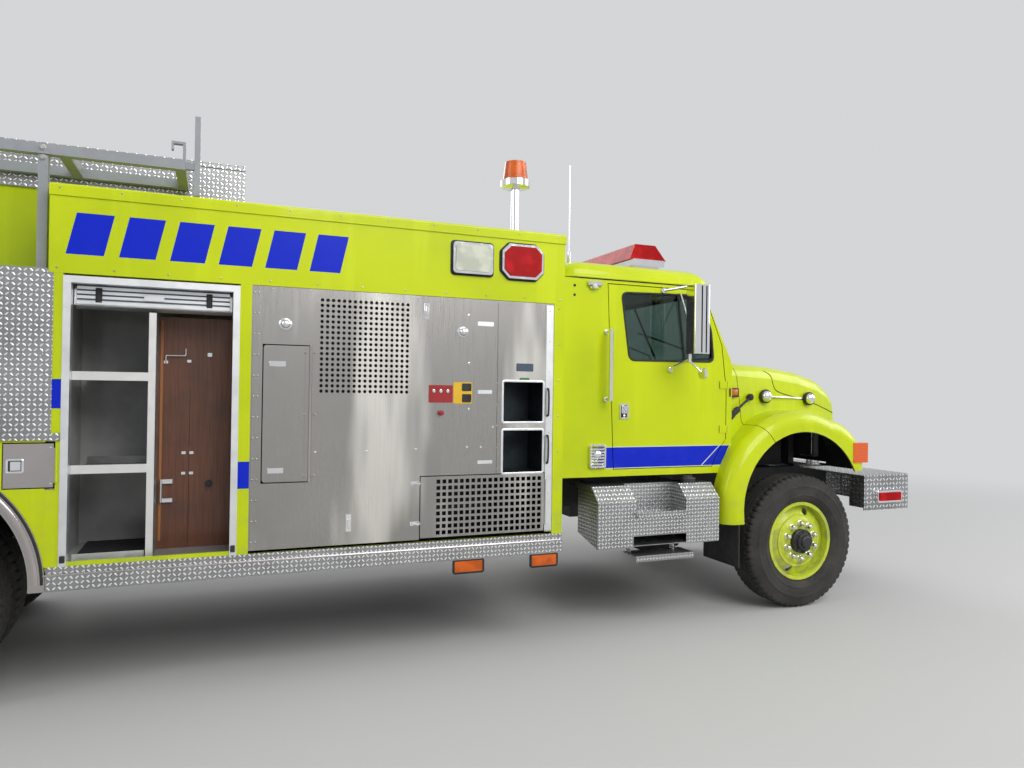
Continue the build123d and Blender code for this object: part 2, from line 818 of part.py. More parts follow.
def fender_face(radius, floor_back, floor_front, front):
    """Side outline of a fender: round over the wheel, straight down behind it, and a blunt front."""
    cx, cz = arch_centre
    top_front = (cx + radius * 0.42, cz + radius * sqrt(1 - 0.42 ** 2))
    edge = [Line((cx - radius, floor_back), (cx - radius, cz)),
            ThreePointArc((cx - radius, cz), (cx - radius * 0.6, cz + radius * 0.8), top_front)]
    corner = (front, cz + radius * 0.60)
    bend = ((top_front[0] + corner[0]) / 2 + 28, (top_front[1] + corner[1]) / 2 + 44)
    edge += [ThreePointArc(top_front, bend, corner), Line(corner, (front, floor_front)),
             Line((front, floor_front), (front - 200, floor_front)),
             Line((front - 200, floor_front), (cx - 200, floor_back)),
             Line((cx - 200, floor_back), (cx - radius, floor_back))]
    return make_face(edge)


def hood_section(x, half_low, half_high, shoulder, low, high, shoulder_z, crown):
    """Closed section at one place: sides, round shoulders and a crowned top."""
    left = Line((half_low, low), (half_high, high))
    bend = ((half_high + shoulder) / 2 + 14, (high + shoulder_z) / 2 + 18)
    turn = ThreePointArc((half_high, high), bend, (shoulder, shoulder_z))
    top = ThreePointArc((shoulder, shoulder_z), (0, crown), (-shoulder, shoulder_z))
    turn_right = ThreePointArc((-shoulder, shoulder_z), (-bend[0], bend[1]), (-half_high, high))
    right = Line((-half_high, high), (-half_low, low))
    base = Line((-half_low, low), (half_low, low))
    return Plane.YZ.offset(x) * make_face([left, turn, top, turn_right, right, base])


# Hood sections: place, half width low and high, shoulder, side top, shoulder height, crown
hood_table = (
    (-640, 985, 925, 800, 1820, 1918, 1968),
    (-100, 905, 850, 745, 1798, 1900, 1944),
    (250, 860, 818, 718, 1758, 1860, 1902),
    (480, 812, 782, 690, 1705, 1806, 1846),
    (600, 785, 758, 665, 1650, 1752, 1790),
    (670, 762, 742, 645, 1598, 1700, 1736),
    (700, 750, 732, 632, 1552, 1655, 1690),
)


def hood_body(inset):
    """The hood's main form, moved in by a wall."""
    sections = []
    low = hood_floor - (2 if inset else 0)
    for index, (x, half_low, half_high, shoulder, side_z, shoulder_z, crown) in enumerate(hood_table):
        place = x
        if inset and index == 0:
            place -= 2
        if index == len(hood_table) - 1:
            place -= inset
        sections.append(hood_section(place, half_low - inset, half_high - inset, shoulder - inset, low,
                                     side_z - inset, shoulder_z - inset, crown - inset))
    return loft(sections, ruled=True)


@cache
def fender_form(inset, y_in):
    """The left fender as one solid with its outer edge rounded, moved in by a wall."""
    drop = 1 if inset else 0
    floors = (fender_foot - drop, fender_lamp_floor - drop)
    face = fender_face(fender_radius - inset, *floors, fender_front - inset)
    outer = fender_half_width - inset
    solid = side_plate(face, (y_in, outer))
    edges = solid.edges().filter_by(GeomType.CIRCLE).filter_by(lambda edge: edge.center().Y > outer - 1)
    return fillet(edges, fender_round - inset)


@cache
def front_clip():
    """Hood and fenders as one shell, before the seam parts them."""
    y_in = 700
    cx, cz = arch_centre
    arch = disc_y(cx, cz, arch_radius, (0, fender_half_width + 10))
    rear_low = block((cx - arch_radius, cx), (0, fender_half_width + 10), (fender_foot - 10, cz))
    shell = both(fender_form(0, y_in) - arch - rear_low) + hood_body(0)
    shell -= both(fender_form(fender_wall, y_in - 1))
    shell -= hood_body(hood_wall)
    return shell - both(disc_y(cx, cz, arch_radius, (y_in - 200, fender_half_width)))


def seam_region(gap):
    """Everything ahead of the seam between hood and cowl, pulled forward by a gap."""
    points = [(x + gap, z) for x, z in seam_points]
    points += [(-200 + gap, 600), (1500, 600), (1500, 2150)]
    return side_plate(outline(points), (-1400, 1400))


def hood_arms():
    """Two arms from the nose to the hinge pins on the bumper deck."""
    arms = Part()
    x, z = hood_pivot
    half = hinge_arm / 2
    for y in (-hood_hinge_half, hood_hinge_half):
        arm = block((grille_place - 12, x), (y - half, y + half), (z - 6, z + 14))
        arm += rod((x, y - half, z), (x, y + half, z), hinge_eye)
        arms += arm - rod((x, y - half - 1, z), (x, y + half + 1, z), hinge_pin + fit_gap)
    return arms


def hood():
    half = grille_half_width + fit_gap
    z = grown((grille_low, grille_high), fit_gap)
    opening = block((grille_place - 80, grille_place + 20), (-half, half), z)
    return (front_clip() & seam_region(run_gap)) - opening + hood_arms()


def rear_fenders():
    """What stays on the cab behind the hood's seam."""
    cab_line = block((cowl_front, 1500), (-1400, 1400), (600, 2150))
    outside = both(block((-900, cowl_front), (cab_half_width + fit_gap, 1400), (600, 1640)))
    region = cab_line + outside
    return (front_clip() - seam_region(0)) & region


def grille():
    """Bright frame with upright bars, seated in the hood's nose."""
    x = (grille_place - grille_depth, grille_place)
    y = (-grille_half_width, grille_half_width)
    z = (grille_low, grille_high)
    frame = block(x, y, z) - block(grown(x, 1), grown(y, -grille_border), grown(z, -grille_border))
    step = (y[1] - y[0] - 2 * grille_border) / (grille_bars + 1)
    for index in range(1, grille_bars + 1):
        middle = y[0] + grille_border + index * step
        frame += block(grown(x, -6), (middle - 9, middle + 9), grown(z, 4 - grille_border))
    for level in (0.33, 0.66):
        middle = z[0] + (z[1] - z[0]) * level
        frame += block((x[0] + 4, x[1] - 10), grown(y, 4 - grille_border), (middle - 6, middle + 6))
    return frame


def bumper_plan(inset):
    half, front = bumper_half_width - inset, front_overhang - inset
    return outline([(bumper_back, -half), (front - bumper_corner, -half), (front, -half + bumper_corner),
                    (front, half - bumper_corner), (front - bumper_corner, half), (bumper_back, half)])


def front_bumper():
    """Folded tread-plate channel with short returns behind, and a flat deck on top."""
    high = bumper_bottom + bumper_height
    wall = extrude(Pos(0, 0, bumper_bottom) * bumper_plan(0), amount=bumper_height)
    wall -= extrude(Pos(0, 0, bumper_bottom - 1) * bumper_plan(plate), amount=bumper_height + 2)
    return_y = (bumper_half_width - 150, bumper_half_width - plate)
    returns = block((bumper_back, bumper_back + plate), return_y, (bumper_bottom + 20, high))
    bracket_y = (rail_half - 30, rail_half + 30)
    brackets = block((rail_front, front_overhang - plate), bracket_y, (bumper_bottom + 40, high))
    deck = extrude(Pos(0, 0, high) * bumper_plan(0), amount=plate)
    notch = rail_half + 60
    deck -= block((bumper_back - 1, rail_front + fit_gap), (-notch, notch), (high - 1, high + plate + 1))
    return wall + both(returns + brackets) + deck + hood_brackets(high)


def hood_brackets(low):
    """Ears on the deck with the pins that the hood tilts on."""
    x, z = hood_pivot
    gap = hinge_arm / 2 + 3
    ear_x = (rail_front + fit_gap - 72, rail_front + 24)
    ears = Part()
    for y in (-hood_hinge_half, hood_hinge_half):
        for side in (-1, 1):
            inner = y + side * gap
            ears += block(ear_x, span(inner, inner + side * plate), (low, z + 16))
        ears += rod((x, y - gap, z), (x, y + gap, z), hinge_pin)
    return ears


def step_boxes():
    """A tread-plate box on each side with a step let into its face and one hung below."""
    face, thin = step_face, plate
    inner = face - step_depth
    high = step_shoulder + step_chamfer
    foot = step_bottom + 70
    profile = [(face, step_bottom), (face, step_shoulder), (face - step_chamfer, high),
               (inner, high), (inner, foot)]
    box = cross_section(profile, (step_back, step_front))
    hollow = [(face - thin, step_bottom + thin), (face - thin, step_shoulder - 3),
              (face - step_chamfer - 3, high - thin), (inner + thin, high - thin),
              (inner + thin, foot + thin)]
    box -= cross_section(hollow, (step_back + thin, step_front - thin))
    back = face - step_recess_depth
    lining = block(grown(step_recess, thin), (back - thin, face - 1), (step_tread - thin, high - 1))
    lining &= cross_section(profile, (step_back, step_front))
    box = box + lining - block(step_recess, (back, face + 1), (step_tread, high + 1))
    lip = block(step_recess, (back, face + 24), (step_tread - thin, step_tread + 30))
    box += lip - block(grown(step_recess, 1), (back - 1, face + 24 - thin), (step_tread, step_tread + 31))
    slot = (step_recess[0] - 20, step_recess[1] + 4)
    box -= block(slot, (face - thin - 1, face + 1), (step_bottom - 1, step_bottom + step_slot_height))
    arms = Part()
    for x in (step_back + 120, step_front - 180):
        arms += block((x, x + 60), (rail_half + rail_width / 2, inner), (rail_top - 90, rail_top - 40))
    return both(box + lower_step() + arms)


def lower_step():
    """The hung step: an upturned tray on two legs."""
    face = step_face
    x = (step_recess[0] - 6, step_recess[1] + 60)
    z = (lower_step_drop, lower_step_drop + lower_step_height)
    under = z[1] - plate
    step = block(x, (face - 170, face + 10), z)
    step -= block(grown(x, 1), (face - 171, face + 10 - plate), (z[0] - 1, under))
    for leg in (step_recess[0] + 20, step_recess[1] - 30):
        step += block((leg, leg + 10), (face - 165, face - 120), (under, step_bottom + 90))
    return step


def fuel_caps():
    """A filler cap on the top of each box."""
    x, y, z = filler
    return both(rod((x, y, z), (x, y, z + 34), 55))


def mud_flaps():
    """Rubber behind the front fenders and behind the twin wheels."""
    y = (front_flap_inner, fender_half_width - fender_wall - fit_gap)
    front = block((front_flap_x - flap_thick, front_flap_x), y, (flap_low, fender_foot + 70))
    back = rear_bay[1] + 20
    rear = block((back - flap_thick, back), (560, body_half_width - 30), (230, body_floor - 24))
    return both(front + rear)


# Body

def front_body_panels():
    """Bulkheads, walls and floors of the left side bays ahead of the rear wheels."""
    x = (bay_back_post, body_front)
    wall_y = (bay_wall_y, bay_wall_y + bay_wall)
    bay_y = (wall_y[1], body_half_width)
    bay_z = (body_floor, valance_low)
    back_plate = bay_back_post + 54
    sill_y = (body_half_width - 18, body_half_width - 4)
    pieces = [panel(x, (bay_wall_y, body_half_width - 12), (body_floor - floor_thick, body_floor)),
              panel(x, wall_y, bay_z),
              panel((body_front - post_width, body_front), bay_y, bay_z),
              panel(middle_post, bay_y, bay_z),
              panel((back_plate, door_frame[0]), bay_y, bay_z),
              panel((bay_back_post, back_plate), bay_y, (body_floor, fill_door_z[0] - pocket_gap)),
              panel((bay_back_post, back_plate), bay_y, (fill_door_z[1] + pocket_gap, valance_low)),
              panel(grown(door_frame, -frame_face), sill_y, (body_floor, body_floor + sill)),
              panel(x, (rail_half - 40, bay_wall_y), (sub_floor, sub_floor + floor_thick)),
              panel(x, (rail_half - 40, rail_half + 40), (rail_top, sub_floor))]
    return pieces


def rear_body_panels():
    """Boxes over the left twin wheels, the bay behind them and the hose bed's wall."""
    x = (body_back, bay_back_post)
    skin = body_half_width - bay_wall
    wall_y = (bay_wall_y, bay_wall_y + bay_wall)
    inside = (wall_y[1], skin)
    inside_z = (body_floor, box_top - bay_wall)
    behind = rear_bay[1]
    pieces = [panel(x, (bay_wall_y, skin), (inside_z[1], box_top)),
              panel((x[0], behind + 40), (bay_wall_y, skin), (body_floor - floor_thick, body_floor)),
              panel(x, wall_y, (sub_floor, inside_z[1])),
              panel((rear_axle - 660, rear_axle + 520), inside, (moulding[0] - bay_wall, moulding[0])),
              panel((behind, behind + bay_wall), inside, inside_z),
              panel((x[0], x[0] + bay_wall), inside, inside_z),
              panel((x[0], rear_bay[0]), (skin, body_half_width), (body_floor, box_top)),
              panel(rear_bay, (skin, body_half_width), (valance_low - head_gap, box_top)),
              panel(x, (rail_half - 40, bay_wall_y), (sub_floor, sub_floor + floor_thick)),
              panel(x, (rail_half - 40, rail_half + 40), (rail_top, sub_floor)),
              panel((x[0], x[1] - 3), hose_wall_y, (box_top, hose_wall_top))]
    return pieces


def body_frame():
    """The body's bulkheads, floors, decks and walls: open bays on both sides and a tunnel between."""
    pieces = both_panels(front_body_panels() + rear_body_panels())
    inside = body_half_width - band_wall
    across = (-bay_wall_y, bay_wall_y)
    over_floor = sub_floor + floor_thick
    pieces.append(panel((body_front - 40, body_front), across, (over_floor, valance_low)))
    pieces.append(panel((bay_back_post + band_wall, body_front - band_wall), (-inside, inside),
                        (valance_low, valance_low + 20)))
    pieces.append(panel((body_back, body_back + bay_wall), across, (over_floor, box_top - bay_wall)))
    pieces.append(panel((body_back, bay_back_post), across, (box_top - bay_wall, box_top)))
    pieces.append(fill_hinge_post())
    return panels(pieces)


def fill_hinge_post():
    """The edge of the right post that carries the fill door's hinge."""
    edge = fill_door[1] + run_gap
    y = (body_half_width - 20, body_half_width)
    strip = panel((edge, bay_back_post + 54), y, grown(fill_door_z, pocket_gap))
    pin = barrels(fill_door[1] + 12, body_half_width + barrel - 1, (sum(fill_door_z) / 2,), 180)
    return other_side(strip + pin)


def upper_band():
    """The painted band all round the top of the front body, and the shallow rolled pan that caps it."""
    x, z, half = (bay_back_post, body_front), (valance_low, roof_lip), body_half_width
    pieces = both_panels([panel(x, (half - band_wall, half), z)])
    for end in ((x[0], x[0] + band_wall), (x[1] - band_wall, x[1])):
        pieces.append(panel(end, (band_wall - half, half - band_wall), z))
    x = (bay_back_post - 3, body_front + lip_reach)
    half = body_half_width + lip_reach
    cap = block(x, (-half, half), (roof_lip + seam, body_top))
    cap = fillet(cap.edges().group_by(Axis.Z)[-1], 14)
    cap -= block((x[0] + 34, x[1] - 34), (-half + 34, half - 34), (roof_lip - 1, body_top - 14))
    return panels(pieces + [cap])


def rectangle(x, z):
    return outline([(x[0], z[0]), (x[1], z[0]), (x[1], z[1]), (x[0], z[1])])


def panel_face(holes):
    """The side panel's outline with rectangular holes."""
    face = rectangle(side_panel, (panel_low, panel_high))
    for x, z in holes:
        face -= rectangle(x, z)
    return face


def side_panels():
    """Stainless side panels: the left one plain, the right one with hatch, vents and cubbies."""
    y = panel_y()
    left = side_plate(panel_face([]), y)
    holes = [(grown(vent_door, run_gap), (panel_low - 1, vent_door_z[1] + run_gap)),
             (grown(hatch, run_gap), grown(hatch_z, run_gap)),
             (grown(round_vent, vent_border), grown(round_vent_z, vent_border))]
    holes += [(cubby, z) for z in cubby_z]
    right = other_side(side_plate(panel_face(holes), y))
    pins = barrels(hatch[1] + 8, y[1] + barrel - 1, (sum(hatch_z) / 2,), hatch_z[1] - hatch_z[0])
    pins += barrels(vent_door[1] + 8, y[1] + barrel - 1, (sum(vent_door_z) / 2,), 300)
    return left + right + other_side(pins)


def hole_centres(x, z, counts, hole):
    """Centres of a rectangular grid of holes inside an area."""
    across = (x[1] - x[0] - 2 * hole) / (counts[0] - 1)
    up = (z[1] - z[0] - 2 * hole) / (counts[1] - 1)
    return [(x[0] + hole + column * across, z[0] + hole + row * up)
            for column in range(counts[0]) for row in range(counts[1])]


def pierced_plate(x, z, centres, radius, corners, turn, y):
    """A plate over an area with one polygon hole at each centre."""
    rim = Wire.make_polygon([(x[0], z[0]), (x[1], z[0]), (x[1], z[1]), (x[0], z[1])])
    angles = [radians(turn + 360 * corner / corners) for corner in range(corners)]
    ring = [(radius * cos(angle), radius * sin(angle)) for angle in angles]
    holes = [Wire.make_polygon([(cx + dx, cz + dz) for dx, dz in ring]) for cx, cz in centres]
    return side_plate(Face(rim, holes), y)


def panel_y():
    return (body_half_width - panel_inset - body_skin, body_half_width - panel_inset)


def round_vent_panel():
    """The pierced field of the right side panel."""
    x, z = grown(round_vent, vent_border - fit_gap), grown(round_vent_z, vent_border - fit_gap)
    centres = hole_centres(round_vent, round_vent_z, round_vent_counts, round_hole)
    return other_side(pierced_plate(x, z, centres, round_hole, 6, 0, panel_y()))


def vent_door_panel():
    """Square-hole vent in its low door, stiffened by a flange at each end."""
    half = square_hole / 2
    centres = hole_centres(square_vent, square_vent_z, square_vent_counts, half)
    y = panel_y()
    door = pierced_plate(vent_door, vent_door_z, centres, half * sqrt(2), 4, 45, y)
    door += block((vent_door[0], vent_door[0] + 16), (y[0] - 20, y[0]), vent_door_z)
    door += block((vent_door[1] - 16, vent_door[1]), (y[0] - 20, y[0]), vent_door_z)
    return other_side(door + leaf(vent_door[1] + 8, y[1], sum(vent_door_z) / 2, 300))


def leaf(hinge_x, y, z, length):
    """A hinge leaf on a lid's face, ending a working gap behind its pin."""
    return block((hinge_x - 30, hinge_x - barrel - fit_gap), (y - 1, y + 3), grown((z, z), length / 2))


def hatch_panel():
    """Access hatch of the right side panel, a shallow pan with a turned edge."""
    face = rectangle(hatch, hatch_z)
    face = fillet(face.vertices(), 16)
    y = panel_y()[1]
    pan = side_plate(face, (y - 22, y)) - side_plate(offset(face, -5), (y - 23, y - body_skin))
    return other_side(pan + leaf(hatch[1] + 8, y, sum(hatch_z) / 2, hatch_z[1] - hatch_z[0]))


def cubby_boxes():
    """Two open boxes let into the right side panel."""
    boxes = Part()
    y = (panel_y()[0] - cubby_depth, panel_y()[0])
    for z in cubby_z:
        outer = block(grown(cubby, 5), y, grown(z, 5))
        boxes += outer - block(cubby, (y[0] + 5, y[1] + 1), z)
    return other_side(boxes)


def door_frames():
    """Aluminium frames of the four shuttered bays: two stiles and a head, open at the sill."""
    frames = Part()
    y = (body_half_width - frame_depth, body_half_width + frame_proud)
    for x in (door_frame, rear_bay):
        outer = block(x, y, (body_floor, valance_low - head_gap))
        frames += outer - block((x[0] + frame_face, x[1] - frame_face), (y[0] - 1, y[1] + 1),
                                (body_floor - 1, valance_low - head_gap - frame_face))
    return both(frames)


def rolled_shutter():
    """The open shutter of the right front bay: its roll behind the head and its last slats hanging down."""
    x = (door_frame[0] + frame_face + 4, door_frame[1] - frame_face - 4)
    y = body_half_width - frame_depth - shutter_radius - 12
    z = valance_low - 20 - shutter_radius
    roll = rod((x[0], y, z), (x[1], y, z), shutter_radius)
    slats = block(x, (y + shutter_radius - 14, y + shutter_radius + 2), (2118, z + 20))
    rail = block(x, (y + shutter_radius - 18, y + shutter_radius + 6), (2096, 2124))
    ends = Part()
    for end in (x[0] - 4, x[1]):
        ends += block((end, end + 4), (y - 30, y + 30), (z - 30, valance_low))
    return other_side(roll + slats + rail + ends)


def slat_levels(z):
    """Bottoms of the raised slats of a shutter between two heights."""
    count = int((z[1] - z[0] - 10) // slat_pitch)
    return [z[0] + 10 + index * slat_pitch for index in range(count)]


def closed_shutters():
    """Closed shutters of the left front bay, both rear bays and the tail: a sheet with raised slats."""
    shutters = Part()
    y = (body_half_width - 40, body_half_width - 40 + shutter_thick)
    for x, sides in ((door_frame, (1,)), (rear_bay, (1, -1))):
        inside = (x[0] + frame_face + fit_gap, x[1] - frame_face - fit_gap)
        z = (body_floor + fit_gap, valance_low - head_gap - frame_face - fit_gap)
        sheet = block(inside, y, z)
        for level in slat_levels(z):
            sheet += block(inside, (y[1], y[1] + 4), (level, level + slat_height))
        for side in sides:
            shutters += sheet if side > 0 else other_side(sheet)
    return shutters


def shelves():
    """Two shelves and an upright in the right front bay."""
    x = (door_frame[0] + frame_face, divider[0])
    y = (bay_wall_y + 22, body_half_width - frame_depth - 4)
    racks = block(divider, y, (body_floor, divider_top))
    for z in shelf_z:
        tray = block(x, y, z) - block((x[0] - 1, x[1] + 1), (y[0] + 4, y[1] - 4), (z[0] + 5, z[1] + 1))
        racks += tray
    return other_side(racks)


def tool_board():
    x = (divider[1], door_frame[1] - frame_face + 20)
    return other_side(block(x, (board_y, board_y + board_thick), (body_floor, divider_top)))


def rear_fender_panels():
    """Painted panels round the rear wheel arches."""
    x = (rear_bay[1], bay_back_post)
    y = (body_half_width - 20, body_half_width)
    area = rectangle(x, (rail_ledge, moulding[0])) - Pos(rear_axle, arch_mid_z) * Circle(ring_inner + 12)
    opening = rectangle(grown(fill_door, run_gap), grown(fill_door_z, run_gap))
    left = side_plate(area, y)
    right = other_side(side_plate(area - opening, y))
    return left + right


def tread_panels():
    """Tread-plate skins over the rear wheels, with a moulding below, both lapping the post ahead of them."""
    x = (rear_bay[1], bay_back_post)
    y = (body_half_width - 20, body_half_width + tread_proud)
    face = (body_half_width, y[1])
    skin = block(x, y, (moulding[1], box_top))
    skin += block((x[1] - 1, x[1] + tread_lap), face, (moulding[1], valance_low - 1))
    strip = block(x, (y[0], y[1] + 9), moulding)
    strip += block((x[1] - 1, door_frame[0] - 1), (face[0], y[1] + 9), moulding)
    return both(skin + strip)


def wheel_wells():
    """Half-round liners over the twin wheels."""
    y = (bay_wall_y + 20, body_half_width - 20)
    well = disc_y(rear_axle, arch_mid_z, ring_inner + 22, y)
    well -= disc_y(rear_axle, arch_mid_z, ring_inner + 12, (y[0] - 1, y[1] + 1))
    well &= block((rear_axle - 700, rear_axle + 700), y, (rail_ledge, 1400))
    return both(well)


def fender_rings():
    """Bright ring round each rear arch, down to the foot of the rub rail."""
    y = (body_half_width, body_half_width + ring_proud)
    ring = Pos(rear_axle, arch_mid_z) * (Circle(welt_outer) - Circle(ring_inner))
    return both(side_plate(ring, y) & block((rear_axle - 800, rear_axle + 800), y, (rail_face[0], 1400)))


def fill_door_plate():
    """Small polished door ahead of the right rear arch."""
    pan = block(fill_door, (body_half_width - 20, body_half_width + 3), fill_door_z)
    pan -= block(grown(fill_door, -5), (body_half_width - 21, body_half_width - 3), grown(fill_door_z, -5))
    return other_side(pan + leaf(fill_door[1] + 12, body_half_width + 3, sum(fill_door_z) / 2, 180))


def fill_box():
    """The pocket behind the fill door."""
    deep = (body_half_width - 174, body_half_width)
    x, z = sum(fill_door) / 2, sum(fill_door_z) / 2
    outer = block(grown(fill_door, 14), (deep[0] - 6, deep[1] - 20), grown(fill_door_z, 14))
    pocket = outer - block(grown(fill_door, 10), deep, grown(fill_door_z, 10))
    return other_side(pocket + disc_y(x, z, 52, (deep[0], deep[1] - 100)))


def rub_rails():
    """Folded tread-plate rail under both sides of the body, broken by the rear wheels."""
    face, low, high, thin = body_half_width + 12, rail_face[0], rail_face[1], plate
    ledge = face - 12
    profile = [(face, low), (face, high), (ledge, high), (ledge, rail_ledge), (ledge - 12, rail_ledge),
               (ledge - 12, high - thin), (face - thin, high - thin), (face - thin, low)]
    reach = sqrt(welt_outer ** 2 - (arch_mid_z - low) ** 2) + 4
    runs = cross_section(profile, (rear_axle + reach, rub_rail_front))
    runs += cross_section(profile, (tail + 240, rear_axle - reach))
    return both(runs)


def tailboard():
    """The step at the tail, a pan on two arms under the rails and a skirt below each bay."""
    top, wall = tailboard_top, tailboard_wall
    y = (-body_half_width, body_half_width)
    deck = block((tail, body_back), y, (top - tailboard_thick, top))
    deck -= block((tail + wall, body_back + 1), grown(y, -wall), (top - tailboard_thick - 1, top - wall))
    arm_y = (rail_half - 30, rail_half + 30)
    arms = block((tail + 10, body_back + 70), arm_y, (top - 60, top - wall))
    arms += block((body_back + 62, body_back + 130), arm_y, (top - 60, rail_bottom))
    skirt_y = (bay_wall_y, body_half_width - 20)
    skirts = block(grown((body_back, body_back), wall), skirt_y, (top, body_floor - 24))
    return deck + both(arms) + both(skirts)


def tail_shutter():
    """Closed shutter between the rear bays."""
    y = (60 - bay_wall_y, bay_wall_y - 60)
    sheet = block((body_back - 14, body_back), y, tail_opening)
    for level in slat_levels(tail_opening):
        sheet += block((body_back - 18, body_back - 14), y, (level, level + slat_height))
    return sheet


def hose_caps():
    """Tube along the top of each hose bed wall."""
    x, z = (body_back, bay_back_post - 3), (hose_wall_top, hose_wall_top + hose_cap)
    return both_panels([panel(x, grown(hose_wall_y, 12), z)])


def side_boards():
    """Tread-plate boards round the hose bed, stepped down on the roof, with an edge trim."""
    low, high = hose_wall_top + hose_cap, side_board_top - board_trim
    step, back, front = bay_back_post - 3, body_back, side_board_front
    wall = (side_board_half - side_board_wall, side_board_half)
    left = [panel((back, step), wall, (low, high)), panel((step, front), wall, (body_top, high)),
            panel((back, front), grown(wall, 8), (high, side_board_top))]
    front_board = panel((front - side_board_wall, front), (-wall[0], wall[0]), (body_top, high))
    return panels(both_panels(left) + [front_board] + hose_caps())


def ladder_rack():
    """Tube rack along the right side: outer and inner rails, cross tubes, posts, and an upright clamp."""
    tube = rack_tube
    z = (rack_top - tube, rack_top)
    outer = (rack_half - tube / 2, rack_half + tube / 2)
    inner = (side_board_half + 8 + fit_gap, side_board_half + 8 + fit_gap + 45)
    between = (inner[1], outer[0])
    back = body_back + 260
    pieces = [panel((back, rack_front), outer, z), panel((back, rack_front), inner, z)]
    for x in (back, *rack_middle, rack_front - tube):
        pieces.append(panel((x, x + tube), between, z))
    for x in rack_posts:
        pieces.append(panel((x - 23, x + 23), (outer[0], outer[0] + 46), (box_top + 8, z[0])))
        pieces.append(panel((x - 44, x + 44), (outer[0] - 20, outer[0] + 66), (box_top, box_top + 8)))
    return panels([other_side(piece) for piece in pieces + rack_clamp(outer, z)])


def rack_clamp(outer, z):
    """The upright bar ahead of the rack's front end and the hooked bar on top of it."""
    x = rack_front + 44
    y = (outer[0] + 12, outer[1] - 12)
    hook = (rack_front - 16, rack_front)
    hook_top = z[1] + 102
    return [panel((rack_front, x), y, (z[0] + 8, z[1] - 8)),
            panel((x, x + 30), (outer[0] + 8, outer[1] - 8), (body_top + 24, clamp_height)),
            panel(hook, y, (z[1], hook_top)),
            panel((hook[0] - 58, hook[0]), y, (hook_top - 14, hook_top)),
            panel((hook[0] - 58, hook[0] - 46), y, (hook_top - 48, hook_top - 14))]


def light_bar_base():
    """Bright tray and feet across the cab roof."""
    low, mid, _ = bar_z
    tray = block((bar_x[0] + 20, bar_x[1] - 20), (-bar_half - 10, bar_half + 10), (low, mid))
    foot = block((bar_x[0] + 50, bar_x[1] - 50), (bar_half - 110, bar_half - 30), (roof_top - 60, low))
    return tray + both(foot - Pos(0, 0, fit_gap) * cab_roof())


def light_bar_lens():
    """The bar's lens, narrower at the top."""
    (back, front), (_, mid, high) = bar_x, bar_z
    profile = outline([(back, mid), (front, mid), (front - 100, high), (back + 46, high)])
    return side_plate(profile, (-bar_half, bar_half))


def beacon_base():
    """Pole on a round foot with a wide bright flange under the dome."""
    foot, flange = body_top + 10, beacon_top - beacon_dome
    levels = ((body_top, foot, 70), (body_top, flange - 35, beacon_pole_radius), (flange - 40, flange, 98))
    pole = Part()
    for low, high, radius in levels:
        pole += rod((beacon_x, -beacon_y, low), (beacon_x, -beacon_y, high), radius)
    return pole


def antenna():
    base = rod((antenna_x, -antenna_y, roof_top - 80), (antenna_x, -antenna_y, roof_top + 50), 14)
    base -= Pos(0, 0, fit_gap) * cab_roof()
    return base + rod((antenna_x, -antenna_y, roof_top + 50), (antenna_x, -antenna_y, antenna_top), 4)


# Lamps on the sides: x range, z range, side face, corner size, whether corners are cut straight
clear_lamp = ((-2934, -2670), (2405, 2601), body_half_width, 22, False)
red_lamp = ((-2607, -2318), (2396, 2619), body_half_width, 48, True)
bumper_lamp = ((687, 952), (804, 903), bumper_half_width, 14, False)
lamp_bezel = 16
low_lamps = ((-2897, -2702), (-2372, -2185))
low_lamp_height = 83
tail_lamps = (900, 2100)
tail_lamp = (180, 100)


def lamp_plate(lamp, inset, out):
    """A lamp's outline, moved in by an inset, standing off its side face."""
    x, z, face, corner, cut = lamp
    x, z = grown(x, -inset), grown(z, -inset)
    shape = outline([(x[0], z[0]), (x[1], z[0]), (x[1], z[1]), (x[0], z[1])])
    shape = (chamfer if cut else fillet)(shape.vertices(), corner - inset * 0.4)
    return side_plate(shape, (face + out[0], face + out[1]))


def lens_of(lamp):
    return lamp_plate(lamp, lamp_bezel, (12, 34))


def bezel_of(lamp):
    return lamp_plate(lamp, 0, (0, 26)) - lamp_plate(lamp, lamp_bezel, (12, 27))


def clear_lenses():
    return both(lens_of(clear_lamp))


def lamp_bezels():
    return both(bezel_of(clear_lamp) + bezel_of(red_lamp) + bezel_of(bumper_lamp))


def red_lenses():
    """Side warning lamps, bumper markers and the lamps at the tail."""
    lens = lens_of(red_lamp) + lens_of(bumper_lamp)
    outer = body_half_width - 139
    y = (outer - tail_lamp[0], outer)
    for z in tail_lamps:
        lens += block((body_back - 30, body_back), y, (z, z + tail_lamp[1]))
    return both(lens)


def amber_lenses():
    """Low side markers under the rub rail and the beacon's dome."""
    y, z = (body_half_width - 16, body_half_width + 8), (rail_face[0] - low_lamp_height, rail_face[0])
    lens = Part()
    for x in low_lamps:
        lens += block(x, y, z)
    base = (Align.CENTER, Align.CENTER, Align.MIN)
    dome = Pos(beacon_x, -beacon_y, beacon_top - beacon_dome) * Cone(86, 70, beacon_dome, align=base)
    return both(lens) + dome


def headlamps():
    """Square lamps in the fender fronts, and turn lamps wrapped round the fenders' corners."""
    lamp = block((fender_front, fender_front + 14), *headlamp)
    return both(lamp + (block(*turn_lamp) - fender_form(0, 700)))


def hood_trim():
    """A bright round pod at each end of a rod on both sides of the hood."""
    trim = rod(*[(x, y + 12, z) for x, y, z in pod_places], 7)
    for x, y, z in pod_places:
        trim += disc_y(x, z, pod_radius, (y - 90, y + 34))
    return both(trim - hood_body(0))


